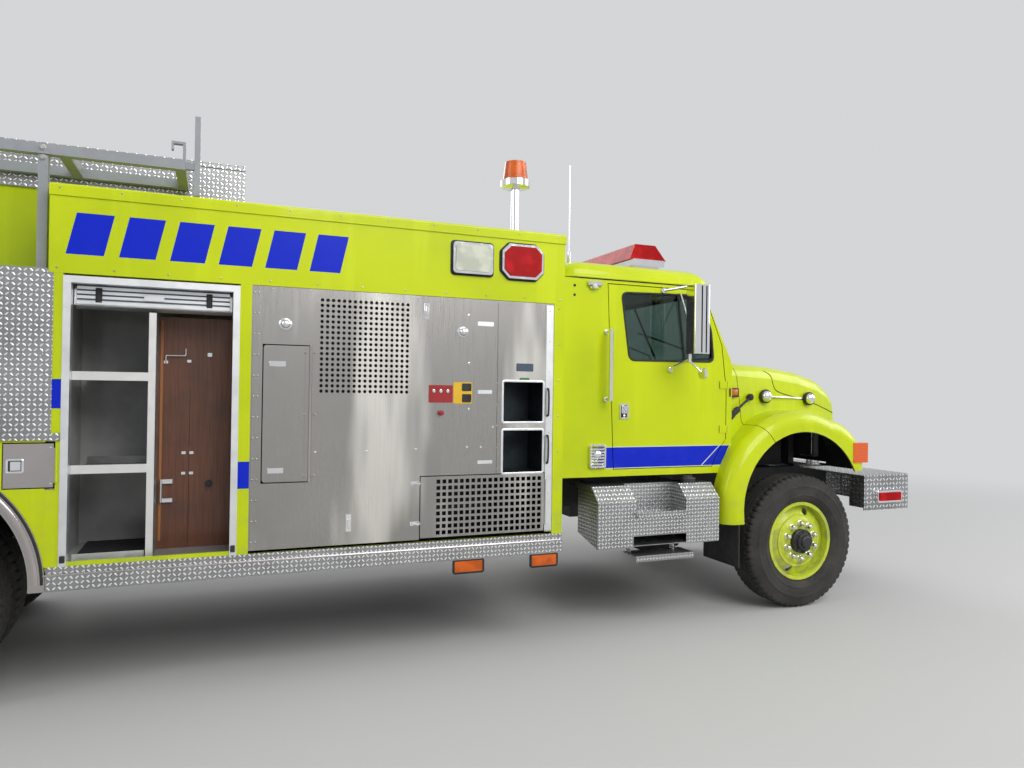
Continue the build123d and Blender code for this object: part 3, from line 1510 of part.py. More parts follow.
# Every node with the pieces that share it
nodes = {
    "frame_rails": frame_rails,
    "front_axle": front_axle,
    "rear_axle": rear_axle_beam,
    "leaf_springs": leaf_springs,
    "engine_block": lambda: engine_block() + radiator(),
    "driveline": lambda: driveline() + exhaust() + air_tanks(),
    "cab_shell": cab_shell,
    "cab_roof": cab_roof,
    "cab_glass": cab_glass,
    "seats": seats,
    "dashboard": lambda: dashboard() + steering_wheel(),
    "rear_fenders": rear_fenders,
    "front_bumper": front_bumper,
    "step_boxes": lambda: step_boxes() + fuel_caps(),
    "wells_and_flaps": lambda: wheel_wells() + mud_flaps(),
    "body_frame": body_frame,
    "upper_band": upper_band,
    "side_panels": side_panels,
    "round_vent": round_vent_panel,
    "door_frames": door_frames,
    "shutters": lambda: rolled_shutter() + closed_shutters() + tail_shutter(),
    "shelves": lambda: shelves() + cubby_boxes() + fill_box(),
    "tool_board": tool_board,
    "rear_fender_panels": rear_fender_panels,
    "tread_panels": tread_panels,
    "fender_rings": fender_rings,
    "rub_rails": lambda: rub_rails() + tailboard(),
    "side_boards": side_boards,
    "ladder_rack": ladder_rack,
    "bright_fittings": lambda: grab_handles() + lamp_bezels() + light_bar_base() + beacon_base() + antenna(),
    "clear_lenses": clear_lenses,
    "red_lenses": lambda: red_lenses() + light_bar_lens(),
    "amber_lenses": amber_lenses,
    "tie_rod": tie_rod,
    "hood": hood,
    "grille": lambda: grille() + hood_trim(),
    "headlamps": headlamps,
    "hatch": hatch_panel,
    "vent_door": vent_door_panel,
    "fill_door": fill_door_plate,
}

# Nodes made once for each side: the left piece, mirrored for the right
paired_nodes = {
    "knuckle": knuckle,
    "front_tyre": lambda: tyre(0, front_track_half),
    "front_wheel": front_wheel,
    "rear_tyres": rear_tyres,
    "rear_wheels": rear_wheels,
    "cab_door": cab_door,
    "door_glass": door_glass,
    "mirror": mirror_set,
}


def write_part(name, piece):
    moved = Pos(front_axle_x, 0, 0) * piece
    moved.label = name
    export_step(moved, os.path.join("parts", name + ".step"))


def main():
    os.makedirs("parts", exist_ok=True)
    for name, make in nodes.items():
        write_part(name, make())
    for name, make in paired_nodes.items():
        left = make()
        write_part(name + "_left", left)
        write_part(name + "_right", other_side(left))


if __name__ == "__main__":
    main()
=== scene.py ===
import math
import bmesh
import bpy
import numpy as np
from mathutils import Matrix, Vector
from mathutils.bvhtree import BVHTree


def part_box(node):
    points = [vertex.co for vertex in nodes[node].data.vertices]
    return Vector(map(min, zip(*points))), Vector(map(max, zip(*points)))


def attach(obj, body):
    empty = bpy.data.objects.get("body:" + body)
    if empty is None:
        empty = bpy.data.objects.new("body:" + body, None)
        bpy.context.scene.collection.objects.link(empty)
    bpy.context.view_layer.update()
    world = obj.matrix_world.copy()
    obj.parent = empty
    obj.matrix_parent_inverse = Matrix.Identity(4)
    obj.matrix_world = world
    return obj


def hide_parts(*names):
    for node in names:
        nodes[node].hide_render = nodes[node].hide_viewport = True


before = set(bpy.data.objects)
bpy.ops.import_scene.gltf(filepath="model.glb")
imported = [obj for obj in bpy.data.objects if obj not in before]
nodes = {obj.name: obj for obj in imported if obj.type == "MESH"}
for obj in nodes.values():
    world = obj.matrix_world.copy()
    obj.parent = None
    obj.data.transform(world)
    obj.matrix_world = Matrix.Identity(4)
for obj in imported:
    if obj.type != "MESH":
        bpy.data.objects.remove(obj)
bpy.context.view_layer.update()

axleLow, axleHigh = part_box("front_axle")
frontAxle = (axleLow.x + axleHigh.x) / 2   # every place below is measured forward from the front axle
left, right = 1, -1
sides = ((left, "left"), (right, "right"))
print("frame loaded")


# Camera, light and floor

camera = {
    "place": (-4.275, -5.567, 1.677),       # from the front axle, in metres
    "turn": 21.983, "lift": 0.484, "roll": 0.801,   # degrees
    "lens": 25.52,
}


def makeCamera(c):
    eye = bpy.data.objects.new("camera", bpy.data.cameras.new("camera"))
    bpy.context.scene.collection.objects.link(eye)
    eye.data.lens = c["lens"]
    eye.data.clip_end = 200
    turn, lift, roll = (math.radians(c[k]) for k in ("turn", "lift", "roll"))
    forward = Vector((math.sin(turn) * math.cos(lift), math.cos(turn) * math.cos(lift), math.sin(lift)))
    side = Vector((math.cos(turn), -math.sin(turn), 0))
    up = side.cross(forward)
    side, up = (side * math.cos(roll) + up * math.sin(roll), up * math.cos(roll) - side * math.sin(roll))
    axes = Matrix((side, up, -forward)).transposed().to_4x4()
    x, y, z = c["place"]
    eye.matrix_world = Matrix.Translation((x + frontAxle, y, z)) @ axes
    bpy.context.scene.camera = eye


lighting = {
    "world": 0.50,                 # strength of the even sky light
    "backdrop": (0.66, 0.67, 0.68),
    "floor": (0.50, 0.50, 0.49),
    "fade": (5.6, 15.0),           # metres over which the floor turns into the backdrop
    "lamps": (                     # name, place, size in metres, watts
        ("key", (3.0, -9.0, 8.0), 7.0, 760),
        ("front", (12.0, -3.0, 6.0), 6.0, 420),
        ("rear", (-10.0, -2.0, 6.0), 6.0, 320),
        ("far", (0.0, 9.0, 8.0), 7.0, 420),
    ),
}


def seenRays(tree, rays):
    # 1 for what the camera sees, straight on, in gloss or through glass
    total = rays.outputs["Is Camera Ray"]
    for kind in ("Is Glossy Ray", "Is Transmission Ray"):
        larger = tree.nodes.new("ShaderNodeMath")
        larger.operation = "MAXIMUM"
        tree.links.new(total, larger.inputs[0])
        tree.links.new(rays.outputs[kind], larger.inputs[1])
        total = larger.outputs[0]
    return total


def fadingFloor(s):
    # Pale floor with shadows near the truck, fading with distance into the backdrop:
    # smoothstep of sqrt(x^2 + y^2 + z^2)
    mat = bpy.data.materials.new("pale_floor")
    mat.use_nodes = True
    tree = mat.node_tree
    shader = tree.nodes["Principled BSDF"]
    shader.inputs["Base Color"].default_value = (*s["floor"], 1)
    shader.inputs["Roughness"].default_value = 0.8
    place = tree.nodes.new("ShaderNodeTexCoord")
    flat = tree.nodes.new("ShaderNodeVectorMath")
    flat.operation = "LENGTH"
    far = tree.nodes.new("ShaderNodeMapRange")
    far.interpolation_type = "SMOOTHSTEP"
    far.inputs["From Min"].default_value, far.inputs["From Max"].default_value = s["fade"]
    glow = tree.nodes.new("ShaderNodeEmission")
    glow.inputs["Color"].default_value = (*s["backdrop"], 1)
    both = tree.nodes.new("ShaderNodeMath")
    both.operation = "MULTIPLY"
    pick = tree.nodes.new("ShaderNodeMixShader")
    tree.links.new(place.outputs["Object"], flat.inputs[0])
    tree.links.new(flat.outputs["Value"], far.inputs["Value"])
    tree.links.new(far.outputs[0], both.inputs[0])
    tree.links.new(seenRays(tree, tree.nodes.new("ShaderNodeLightPath")), both.inputs[1])
    tree.links.new(both.outputs[0], pick.inputs[0])
    tree.links.new(shader.outputs[0], pick.inputs[1])
    tree.links.new(glow.outputs[0], pick.inputs[2])
    tree.links.new(pick.outputs[0], tree.nodes["Material Output"].inputs["Surface"])
    return mat


def makeStudio(s):
    world = bpy.data.worlds.new("studio")
    bpy.context.scene.world = world
    world.use_nodes = True
    tree = world.node_tree
    tree.nodes.clear()
    out = tree.nodes.new("ShaderNodeOutputWorld")
    sky = tree.nodes.new("ShaderNodeBackground")
    seen = tree.nodes.new("ShaderNodeBackground")
    rays = tree.nodes.new("ShaderNodeLightPath")
    plain = seenRays(tree, rays)
    pick = tree.nodes.new("ShaderNodeMixShader")
    sky.inputs["Color"].default_value = (0.95, 0.97, 1.0, 1)
    sky.inputs["Strength"].default_value = s["world"]
    seen.inputs["Color"].default_value = (*s["backdrop"], 1)
    seen.inputs["Strength"].default_value = 1
    tree.links.new(plain, pick.inputs[0])
    tree.links.new(sky.outputs[0], pick.inputs[1])
    tree.links.new(seen.outputs[0], pick.inputs[2])
    tree.links.new(pick.outputs[0], out.inputs["Surface"])
    for name, place, size, watts in s["lamps"]:
        lamp = bpy.data.lights.new(name, "AREA")
        lamp.size, lamp.energy = size, watts
        holder = bpy.data.objects.new(name, lamp)
        bpy.context.scene.collection.objects.link(holder)
        holder.location = place
        holder.rotation_euler = (Vector((0, 0, 1.2)) - Vector(place)).to_track_quat("-Z", "Y").to_euler()
    ground = bpy.data.meshes.new("ground")
    ground.from_pydata([(-60, -60, 0), (60, -60, 0), (60, 60, 0), (-60, 60, 0)], [], [(0, 1, 2, 3)])
    floor = bpy.data.objects.new("ground", ground)
    bpy.context.scene.collection.objects.link(floor)
    ground.materials.append(fadingFloor(s))
    view = bpy.context.scene.view_settings
    view.view_transform = "Standard"


makeCamera(camera)
makeStudio(lighting)
print("camera, light and floor")


# Node helpers for the finishes

class Finish:
    # One material under construction: its tree, its shader and short ways to add nodes

    def __init__(self, name, colour, roughness, metallic=0.0, coat=0.0):
        self.material = bpy.data.materials.new(name)
        self.material.use_nodes = True
        self.tree = self.material.node_tree
        self.shader = self.tree.nodes["Principled BSDF"]
        self.place = self.tree.nodes.new("ShaderNodeTexCoord")
        self.set("Base Color", (*colour, 1))
        self.set("Roughness", roughness)
        self.set("Metallic", metallic)
        self.set("Coat Weight", coat)
        self.set("Coat Roughness", 0.06)
        self.material.diffuse_color = (*colour, 1)

    def set(self, name, value):
        self.shader.inputs[name].default_value = value

    def join(self, source, target):
        if isinstance(source, bpy.types.NodeSocket):
            self.tree.links.new(source, target)
        else:
            target.default_value = source

    def math(self, what, a, b=0.0, c=0.0):
        node = self.tree.nodes.new("ShaderNodeMath")
        node.operation = what
        for socket, source in zip(node.inputs, (a, b, c)):
            self.join(source, socket)
        return node.outputs[0]

    def times(self, a, b):
        return self.math("MULTIPLY", a, b)

    def plus(self, a, b):
        return self.math("ADD", a, b)

    def minus(self, a, b):
        return self.math("SUBTRACT", a, b)

    def larger(self, a, b):
        return self.math("MAXIMUM", a, b)

    def size(self, a):
        return self.math("ABSOLUTE", a)

    def fromAxle(self):
        # Object coordinates, with X measured from the front axle
        x, y, z = self.split()
        return self.minus(x, frontAxle), y, z

    def split(self, vector=None):
        node = self.tree.nodes.new("ShaderNodeSeparateXYZ")
        self.join(vector or self.place.outputs["Object"], node.inputs[0])
        return node.outputs

    def stretched(self, scale, vector=None):
        node = self.tree.nodes.new("ShaderNodeMapping")
        self.join(vector or self.place.outputs["Object"], node.inputs["Vector"])
        node.inputs["Scale"].default_value = scale
        return node.outputs[0]

    def noise(self, scale, detail=3.0, vector=None, roughness=0.55):
        node = self.tree.nodes.new("ShaderNodeTexNoise")
        self.join(vector or self.place.outputs["Object"], node.inputs["Vector"])
        node.inputs["Scale"].default_value = scale
        node.inputs["Detail"].default_value = detail
        node.inputs["Roughness"].default_value = roughness
        return node.outputs["Fac"]

    def steps(self, value, low, high, outLow=0.0, outHigh=1.0, kind="SMOOTHSTEP"):
        node = self.tree.nodes.new("ShaderNodeMapRange")
        node.interpolation_type = kind
        self.join(value, node.inputs["Value"])
        ends = {"From Min": low, "From Max": high, "To Min": outLow, "To Max": outHigh}
        for name, number in ends.items():
            node.inputs[name].default_value = number
        return node.outputs[0]

    def ramp(self, value, low, high, outLow=0.0, outHigh=1.0):
        return self.steps(value, low, high, outLow, outHigh, "LINEAR")

    def mix(self, amount, a, b):
        node = self.tree.nodes.new("ShaderNodeMix")
        node.data_type = "RGBA"
        self.join(amount, node.inputs[0])
        for socket, source in ((node.inputs[6], a), (node.inputs[7], b)):
            self.join(source if isinstance(source, bpy.types.NodeSocket) else (*source, 1), socket)
        return node.outputs[2]

    def band(self, value, low, high, soft=0.0008):
        rise = self.ramp(value, low - soft, low + soft)
        fall = self.ramp(value, high - soft, high + soft, 1, 0)
        return self.times(rise, fall)

    def bump(self, height, strength, distance, normal=None):
        node = self.tree.nodes.new("ShaderNodeBump")
        node.inputs["Strength"].default_value = strength
        node.inputs["Distance"].default_value = distance
        self.join(height, node.inputs["Height"])
        if normal is not None:
            self.join(normal, node.inputs["Normal"])
        return node.outputs[0]

    def use(self, name, source):
        self.join(source, self.shader.inputs[name])
        return self


# Painted surfaces: blue stripes and patches are places on the truck, in metres from the front axle

blue = (0.000, 0.016, 0.52)
limeYellow = (0.56, 0.655, 0.002)

stripes = {
    "cab": {"x": (-1.762, -0.600), "z": (1.128, 1.275), "slant": 0.52, "noseCut": 0.095,
            "pinAt": -0.880, "pinLean": 1.12, "pin": 0.010, "line": (0.001, 0.006)},
    "postPatches": (((-5.100, -5.0305), (1.55, 1.702)), ((-4.1705, -4.1095), (1.102, 1.254))),
    "blocks": {"start": -5.030, "pitch": 0.245, "width": 0.175, "count": 6, "z": (2.352, 2.570),
               "slant": 0.22, "gap": 0.03, "skin": (1.2180, 1.2186)},
}


def blueMask(f, wanted):
    # 1 where the paint is blue: each stripe is a box in X and Z, some with a slanted end
    x, y, z = f.fromAxle()
    masks = []
    if "cab" in wanted:
        s = stripes["cab"]
        lean = f.times(f.minus(z, s["z"][0]), s["slant"])
        along = f.minus(x, lean)
        slanted = f.band(along, s["x"][0] - 1, s["x"][1] - s["noseCut"])
        masks.append(f.times(slanted, f.times(f.band(z, *s["z"]), f.band(x, s["x"][0], 0))))
    if "posts" in wanted:
        for xs, zs in stripes["postPatches"]:
            masks.append(f.times(f.band(x, *xs), f.band(z, *zs)))
    if "blocks" in wanted:
        s = stripes["blocks"]
        lean = f.times(f.minus(z, s["z"][0]), s["slant"])
        along = f.minus(f.minus(x, lean), s["start"])
        turns = f.math("DIVIDE", along, s["pitch"])
        local = f.math("FRACT", turns)
        inside = f.band(local, s["gap"], s["gap"] + s["width"] / s["pitch"], 0.003)
        run = f.band(turns, 0, s["count"], 0.002)
        face = f.ramp(f.size(y), *s["skin"])
        masks.append(f.times(f.times(inside, run), f.times(f.band(z, *s["z"]), face)))
    total = masks[0]
    for other in masks[1:]:
        total = f.larger(total, other)
    return total


def shadedInnerFaces(f, centre):
    # Painted shade: 1 on faces that look inwards or down: y * normal y < 0, normal z below -0.4, or normal x
    # to the centre
    x, y, z = f.split()
    nx, ny, nz = f.split(f.place.outputs["Normal"])
    facing = f.ramp(f.times(y, ny), -0.10, -0.06, 1, 0)
    under = f.ramp(nz, -0.45, -0.35, 1, 0)
    toward = f.times(nx, f.minus(x, frontAxle + centre))
    ends = f.times(f.ramp(f.size(nx), 0.8, 0.9), f.ramp(toward, -0.02, 0.0, 1, 0))
    return f.larger(f.larger(facing, under), ends)


bodyInside = {
    "skin": (1.186, 1.192),          # out from the middle, where the inner walls end
    "valance": (2.245, 2.250),       # up to here
    "length": (-7.735, -2.170),
    # dark: painted shade; the closed middle part behind the round holes is near black
    "dark": (-4.100, -2.180),        # the closed middle part behind the panel's round holes
}


def insideBody(f):
    # 1 on the bays' walls: inside the skin, under the valance and behind the body's front wall
    b = bodyInside
    x, y, z = f.fromAxle()
    deep = f.ramp(f.size(y), *b["skin"], 1, 0)
    low = f.ramp(z, *b["valance"], 1, 0)
    return f.times(f.times(deep, low), f.band(x, *b["length"]))


def paint(name, colour, wanted=(), grime=0.25, shadeCentre=None):
    # Clear-coated paint: slight orange peel, cloudy fading, dirt towards the ground, stripes, grey walls
    # inside the bays, and painted shade, near black, on faces that look inwards or down and behind the side
    # panel's round holes
    f = Finish(name, colour, 0.34, coat=0.32)
    f.set("Specular IOR Level", 0.2)
    deep = (colour[0] * 0.80, colour[1] * 0.84, colour[2] * 0.8)
    cloud = f.steps(f.noise(1.1, 5), 0.35, 0.75)
    tint = f.mix(cloud, colour, deep)
    streak = f.steps(f.noise(2.2, 4, f.stretched((3.2, 3.2, 0.35))), 0.52, 0.72)
    pale = tuple(min(1.0, c * 1.15 + 0.01) for c in colour)
    tint = f.mix(f.times(streak, 0.35), tint, pale)
    if wanted:
        stripe = blueMask(f, wanted)
        tint = f.mix(stripe, tint, blue)
        f.use("Coat Weight", f.ramp(stripe, 0, 1, 0.32, 0.10))
    if "cab" in wanted:
        tint = f.mix(edgeLines(f), tint, (0.62, 0.70, 0.50))
    low = f.steps(f.split()[2], 0.35, 1.5, 1, 0)
    dust = f.times(f.times(low, f.steps(f.noise(9, 6), 0.42, 0.7)), grime)
    tint = f.mix(dust, tint, (0.20, 0.19, 0.15))
    if shadeCentre is not None:
        # painted shade: faces that look inwards or down turn near black
        tint = f.mix(shadedInnerFaces(f, shadeCentre), tint, (0.018, 0.019, 0.018))
    if "posts" in wanted:
        wall = f.mix(f.steps(f.noise(1.4, 5), 0.35, 0.7), (0.40, 0.405, 0.39), (0.20, 0.205, 0.20))
        # painted shade behind the panel's round holes: near black
        wall = f.mix(f.band(f.fromAxle()[0], *bodyInside["dark"]), wall, (0.010, 0.010, 0.010))
        tint = f.mix(insideBody(f), tint, wall)
    f.use("Base Color", tint)
    f.use("Roughness", f.steps(f.noise(14, 4), 0.3, 0.8, 0.28, 0.44))
    f.use("Normal", f.bump(f.noise(260, 2), 0.05, 0.0004))
    return f.material


def edgeLines(f):
    # Thin pale lines along the stripe's two edges and one slanted line near its front end
    s = stripes["cab"]
    x, y, z = f.fromAxle()
    run = f.band(x, s["x"][0] + 0.06, s["x"][1])
    near, far = s["line"]
    (low, high) = s["z"]
    edges = f.larger(f.band(z, low - far, low - near), f.band(z, high + near, high + far))
    lean = f.minus(x, f.times(f.minus(z, s["z"][0]), s["pinLean"]))
    pin = f.times(f.band(lean, s["pinAt"], s["pinAt"] + s["pin"]), f.band(z, *s["z"]))
    return f.larger(f.times(edges, run), pin)


def lozenges(f, pitch):
    # Raised bars in alternate cells, turned 45 degrees either way: 1 on a bar, 0 between.
    # With a and b along and across the bar, height = 1 - ((a / 0.82)^2 + (b / 0.31)^2)
    x, y, z = f.split()
    nx, ny, nz = f.split(f.place.outputs["Normal"])
    endFace = f.ramp(f.size(nx), 0.70, 0.72)
    flat = f.ramp(f.size(nz), 0.74, 0.76)
    u = f.plus(f.times(x, f.minus(1.0, endFace)), f.times(y, endFace))
    v = f.plus(f.times(z, f.minus(1.0, flat)), f.times(y, flat))
    u, v = f.math("DIVIDE", u, pitch), f.math("DIVIDE", v, pitch)
    cell = f.plus(f.math("FLOOR", u), f.math("FLOOR", v))
    parity = f.math("MODULO", f.size(cell), 2.0)
    turn = f.minus(f.times(parity, 2.0), 1.0)
    lu, lv = f.minus(f.math("FRACT", u), 0.5), f.minus(f.math("FRACT", v), 0.5)
    along = f.plus(lu, f.times(turn, lv))
    across = f.minus(lv, f.times(turn, lu))
    a = f.math("POWER", f.size(f.math("DIVIDE", along, 0.82)), 2.0)
    b = f.math("POWER", f.size(f.math("DIVIDE", across, 0.31)), 2.0)
    return f.ramp(f.minus(1.0, f.plus(a, b)), 0.0, 1.0)


def greyTone(red, tone, blue=None):
    return red * tone, red * tone, (blue or red) * tone


def treadPlate(name, pitch=0.0255, tone=1.0):
    # Bright aluminium tread plate: bars polished by wear and lightened further as a painted highlight, a
    # painted shadow round each bar's foot and duller metal between
    f = Finish(name, (0.6, 0.6, 0.6), 0.3, metallic=1.0)
    height = lozenges(f, pitch)
    bar = f.steps(height, 0.30, 0.62)
    foot = f.times(f.steps(height, 0.02, 0.16), f.steps(height, 0.22, 0.42, 1, 0))
    worn = f.steps(f.noise(3.2, 5), 0.3, 0.75)
    ground = f.mix(worn, greyTone(0.40, tone, 0.405), greyTone(0.27, tone, 0.275))
    # painted shadow: a dark ring round each bar's foot
    ground = f.mix(f.times(foot, 0.75), ground, (0.07, 0.07, 0.072))
    # the bars' near-white colour: polish from wear, and a painted highlight
    f.use("Base Color", f.mix(bar, ground, greyTone(0.97, tone)))
    f.use("Roughness", f.steps(bar, 0, 1, 0.40, 0.24))
    f.use("Normal", f.bump(height, 0.8, 0.0018))
    return f.material


def stainless(name, along="z", tone=(0.60, 0.575, 0.535), roughness=0.30, reflectionStreaks=0.0):
    # Brushed stainless: fine lines along one axis, soft clouds and broad upright bright streaks, a painted
    # reflection
    f = Finish(name, tone, roughness, metallic=1.0)
    scale = (90, 90, 1.2) if along == "z" else (1.2, 90, 90)
    lines = f.noise(4, 4, f.stretched(scale))
    cloud = f.noise(1.1, 4)
    shade = f.mix(f.steps(cloud, 0.3, 0.75), tone, tuple(c * 0.80 for c in tone))
    if reflectionStreaks:
        # painted reflection: broad upright bright streaks on the panel
        reflectionBand = f.steps(f.noise(1.0, 3, f.stretched((2.6, 2.6, 0.42))), 0.50, 0.68)
        shade = f.mix(f.times(reflectionBand, reflectionStreaks), shade, (0.86, 0.83, 0.77))
    grooves = f.times(f.steps(lines, 0.3, 0.8), 0.22)
    f.use("Base Color", f.mix(grooves, shade, tuple(c * 0.72 for c in tone)))
    f.use("Roughness", f.plus(f.steps(lines, 0.2, 0.8, roughness - 0.06, roughness + 0.08),
                              f.steps(cloud, 0.3, 0.8, -0.03, 0.07)))
    f.use("Normal", f.bump(lines, 0.08, 0.0004))
    return f.material


def plainMetal(name, colour, roughness, bumpSize=0.06, patina=0.15):
    # Metal with faint scratches and duller patches
    f = Finish(name, colour, roughness, metallic=1.0)
    cloud = f.steps(f.noise(6, 5), 0.35, 0.75)
    f.use("Base Color", f.mix(f.times(cloud, patina * 2), colour, tuple(c * 0.6 for c in colour)))
    smooth, worn = max(roughness - 0.05, 0.02), roughness + 0.1
    f.use("Roughness", f.steps(f.noise(22, 4), 0.25, 0.8, smooth, worn))
    f.use("Normal", f.bump(f.noise(120, 3), bumpSize, 0.0004))
    return f.material


def dullCoat(name, colour, roughness, grain=240, depth=0.25, wear=0.3, metallic=0.0):
    # Satin paint, rubber or plastic: a fine grain, scuffs and settled dust
    f = Finish(name, colour, roughness, metallic=metallic)
    scuff = f.steps(f.noise(7, 6), 0.45, 0.75)
    light = tuple(min(1, c * 1.5 + 0.03) for c in colour)
    f.use("Base Color", f.mix(f.times(scuff, wear), colour, light))
    f.use("Roughness", f.steps(f.noise(31, 4), 0.25, 0.8, roughness - 0.08, min(roughness + 0.12, 1)))
    f.use("Normal", f.bump(f.noise(grain, 3), depth, 0.0005))
    return f.material


def clearGlass(name, colour, roughness=0.02):
    # Window glass, faintly tinted, with a thin film of dust
    f = Finish(name, colour, roughness)
    f.set("Transmission Weight", 1.0)
    f.set("IOR", 1.45)
    film = f.steps(f.noise(5, 5), 0.4, 0.8, roughness, roughness + 0.05)
    f.use("Roughness", film)
    f.use("Base Color", f.mix(f.steps(f.noise(2, 3), 0.3, 0.8, 0, 0.12), colour, (0.75, 0.78, 0.74)))
    return f.material


def lensPlastic(name, colour, ribs=110, clear=0.35, bright=1.25, shine=0.4):
    # Moulded lens: coloured clear plastic with small ribs, darker between them as painted shade,
    # and broad lighter facets as painted highlights; a low shine leaves off the coat
    coated = shine > 0.2
    f = Finish(name, colour, 0.14 if coated else 0.26, coat=0.35 if coated else 0.0)
    f.set("Specular IOR Level", shine)
    f.set("Transmission Weight", clear)
    f.set("IOR", 1.49)
    x, y, z = f.split()
    turns = ribs * 6.283
    wave = f.times(f.math("SINE", f.times(x, turns)), f.math("SINE", f.times(z, turns)))
    facetHighlight = f.steps(f.noise(9, 2), 0.40, 0.62)
    dark = tuple(c * 0.45 for c in colour)
    light = tuple(min(1, c * bright + 0.005) for c in colour)
    # painted highlight on the lighter facets and painted shade between the ribs
    f.use("Base Color", f.mix(f.steps(wave, -1, 1, 0, 0.45), f.mix(facetHighlight, colour, light), dark))
    f.use("Normal", f.bump(wave, 0.35, 0.0012))
    return f.material


def frontLampPlastic(name):
    # Clear glass over the square lamps and orange plastic on the wrap-round turn lamps outboard of them, both
    # with light and dark bands across their ribs as painted highlight and shade
    f = Finish(name, (0.8, 0.8, 0.8), 0.12, coat=0.5)
    x, y, z = f.split()
    outer = f.ramp(f.size(y), 1.045, 1.05)
    wave = f.math("SINE", f.times(z, 420.0))
    # light and dark bands across the ribs: painted highlight and shade
    clear = f.mix(f.steps(wave, -1, 1), (0.74, 0.77, 0.78), (0.40, 0.42, 0.43))
    orange = f.mix(f.steps(wave, -1, 1, 0, 0.5), (0.78, 0.115, 0.004), (0.42, 0.050, 0.003))
    f.use("Base Color", f.mix(outer, clear, orange))
    f.use("Normal", f.bump(wave, 0.3, 0.0010))
    return f.material


bayLook = {
    "edge": (1.142, 1.150),          # out from the middle, where the bright edges start
    "cubby": (-2.750, -2.740),       # ahead of this the cubbies turn near black
}


def bayMetal(name):
    # Shelves and cubbies: bright edges outside, a darker grey behind them as painted shade deeper in the bay,
    # and near black inside the cubbies
    f = Finish(name, (0.8, 0.8, 0.8), 0.42, metallic=0.75)
    x, y, z = f.fromAxle()
    edge = f.ramp(f.size(y), *bayLook["edge"])
    cloud = f.steps(f.noise(5, 5), 0.35, 0.7)
    # painted shade: the same metal deeper in the bay is darker grey than its bright edges
    deepShade = f.mix(cloud, (0.34, 0.345, 0.34), (0.20, 0.202, 0.20))
    tint = f.mix(edge, deepShade, (0.74, 0.735, 0.72))
    cubby = f.ramp(x, *bayLook["cubby"])
    tint = f.mix(cubby, tint, f.mix(cloud, (0.035, 0.045, 0.052), (0.014, 0.018, 0.021)))
    f.use("Base Color", tint)
    f.use("Roughness", f.steps(f.noise(22, 4), 0.25, 0.8, 0.34, 0.55))
    f.use("Normal", f.bump(f.noise(120, 3), 0.06, 0.0004))
    return f.material


def tyreRubber(name):
    # Tyre rubber: brownish black with dusty patches and a fine grain
    f = Finish(name, (0.022, 0.021, 0.020), 0.78)
    dust = f.steps(f.noise(5, 6), 0.35, 0.75)
    dusty = (0.070, 0.062, 0.052)
    f.use("Base Color", f.mix(f.times(dust, 0.5), (0.020, 0.019, 0.018), dusty))
    f.use("Roughness", f.steps(f.noise(40, 4), 0.2, 0.8, 0.66, 0.92))
    f.use("Normal", f.bump(f.noise(330, 4), 0.35, 0.0006))
    return f.material


def boardWood(name):
    # Brown varnished board with upright grain, scratches and stains
    f = Finish(name, (0.16, 0.075, 0.035), 0.42, coat=0.15)
    grain = f.noise(3, 6, f.stretched((38, 38, 1.5)))
    stain = f.steps(f.noise(4, 5), 0.45, 0.7)
    tint = f.mix(f.steps(grain, 0.3, 0.75), (0.150, 0.052, 0.023), (0.098, 0.034, 0.016))
    f.use("Base Color", f.mix(f.times(stain, 0.5), tint, (0.05, 0.026, 0.016)))
    f.use("Roughness", f.steps(grain, 0.2, 0.8, 0.34, 0.55))
    f.use("Normal", f.bump(grain, 0.2, 0.0008))
    return f.material


def grainedVinyl(name, colour):
    # Seat vinyl: leather-like cells and worn shine
    f = Finish(name, colour, 0.5)
    cells = f.tree.nodes.new("ShaderNodeTexVoronoi")
    cells.feature = "DISTANCE_TO_EDGE"
    cells.inputs["Scale"].default_value = 420
    f.join(f.place.outputs["Object"], cells.inputs["Vector"])
    worn = tuple(c * 1.7 + 0.01 for c in colour)
    f.use("Base Color", f.mix(f.steps(f.noise(6, 4), 0.4, 0.8, 0, 0.4), colour, worn))
    f.use("Roughness", f.steps(f.noise(12, 4), 0.3, 0.8, 0.38, 0.6))
    f.use("Normal", f.bump(cells.outputs["Distance"], 0.3, 0.0006))
    return f.material


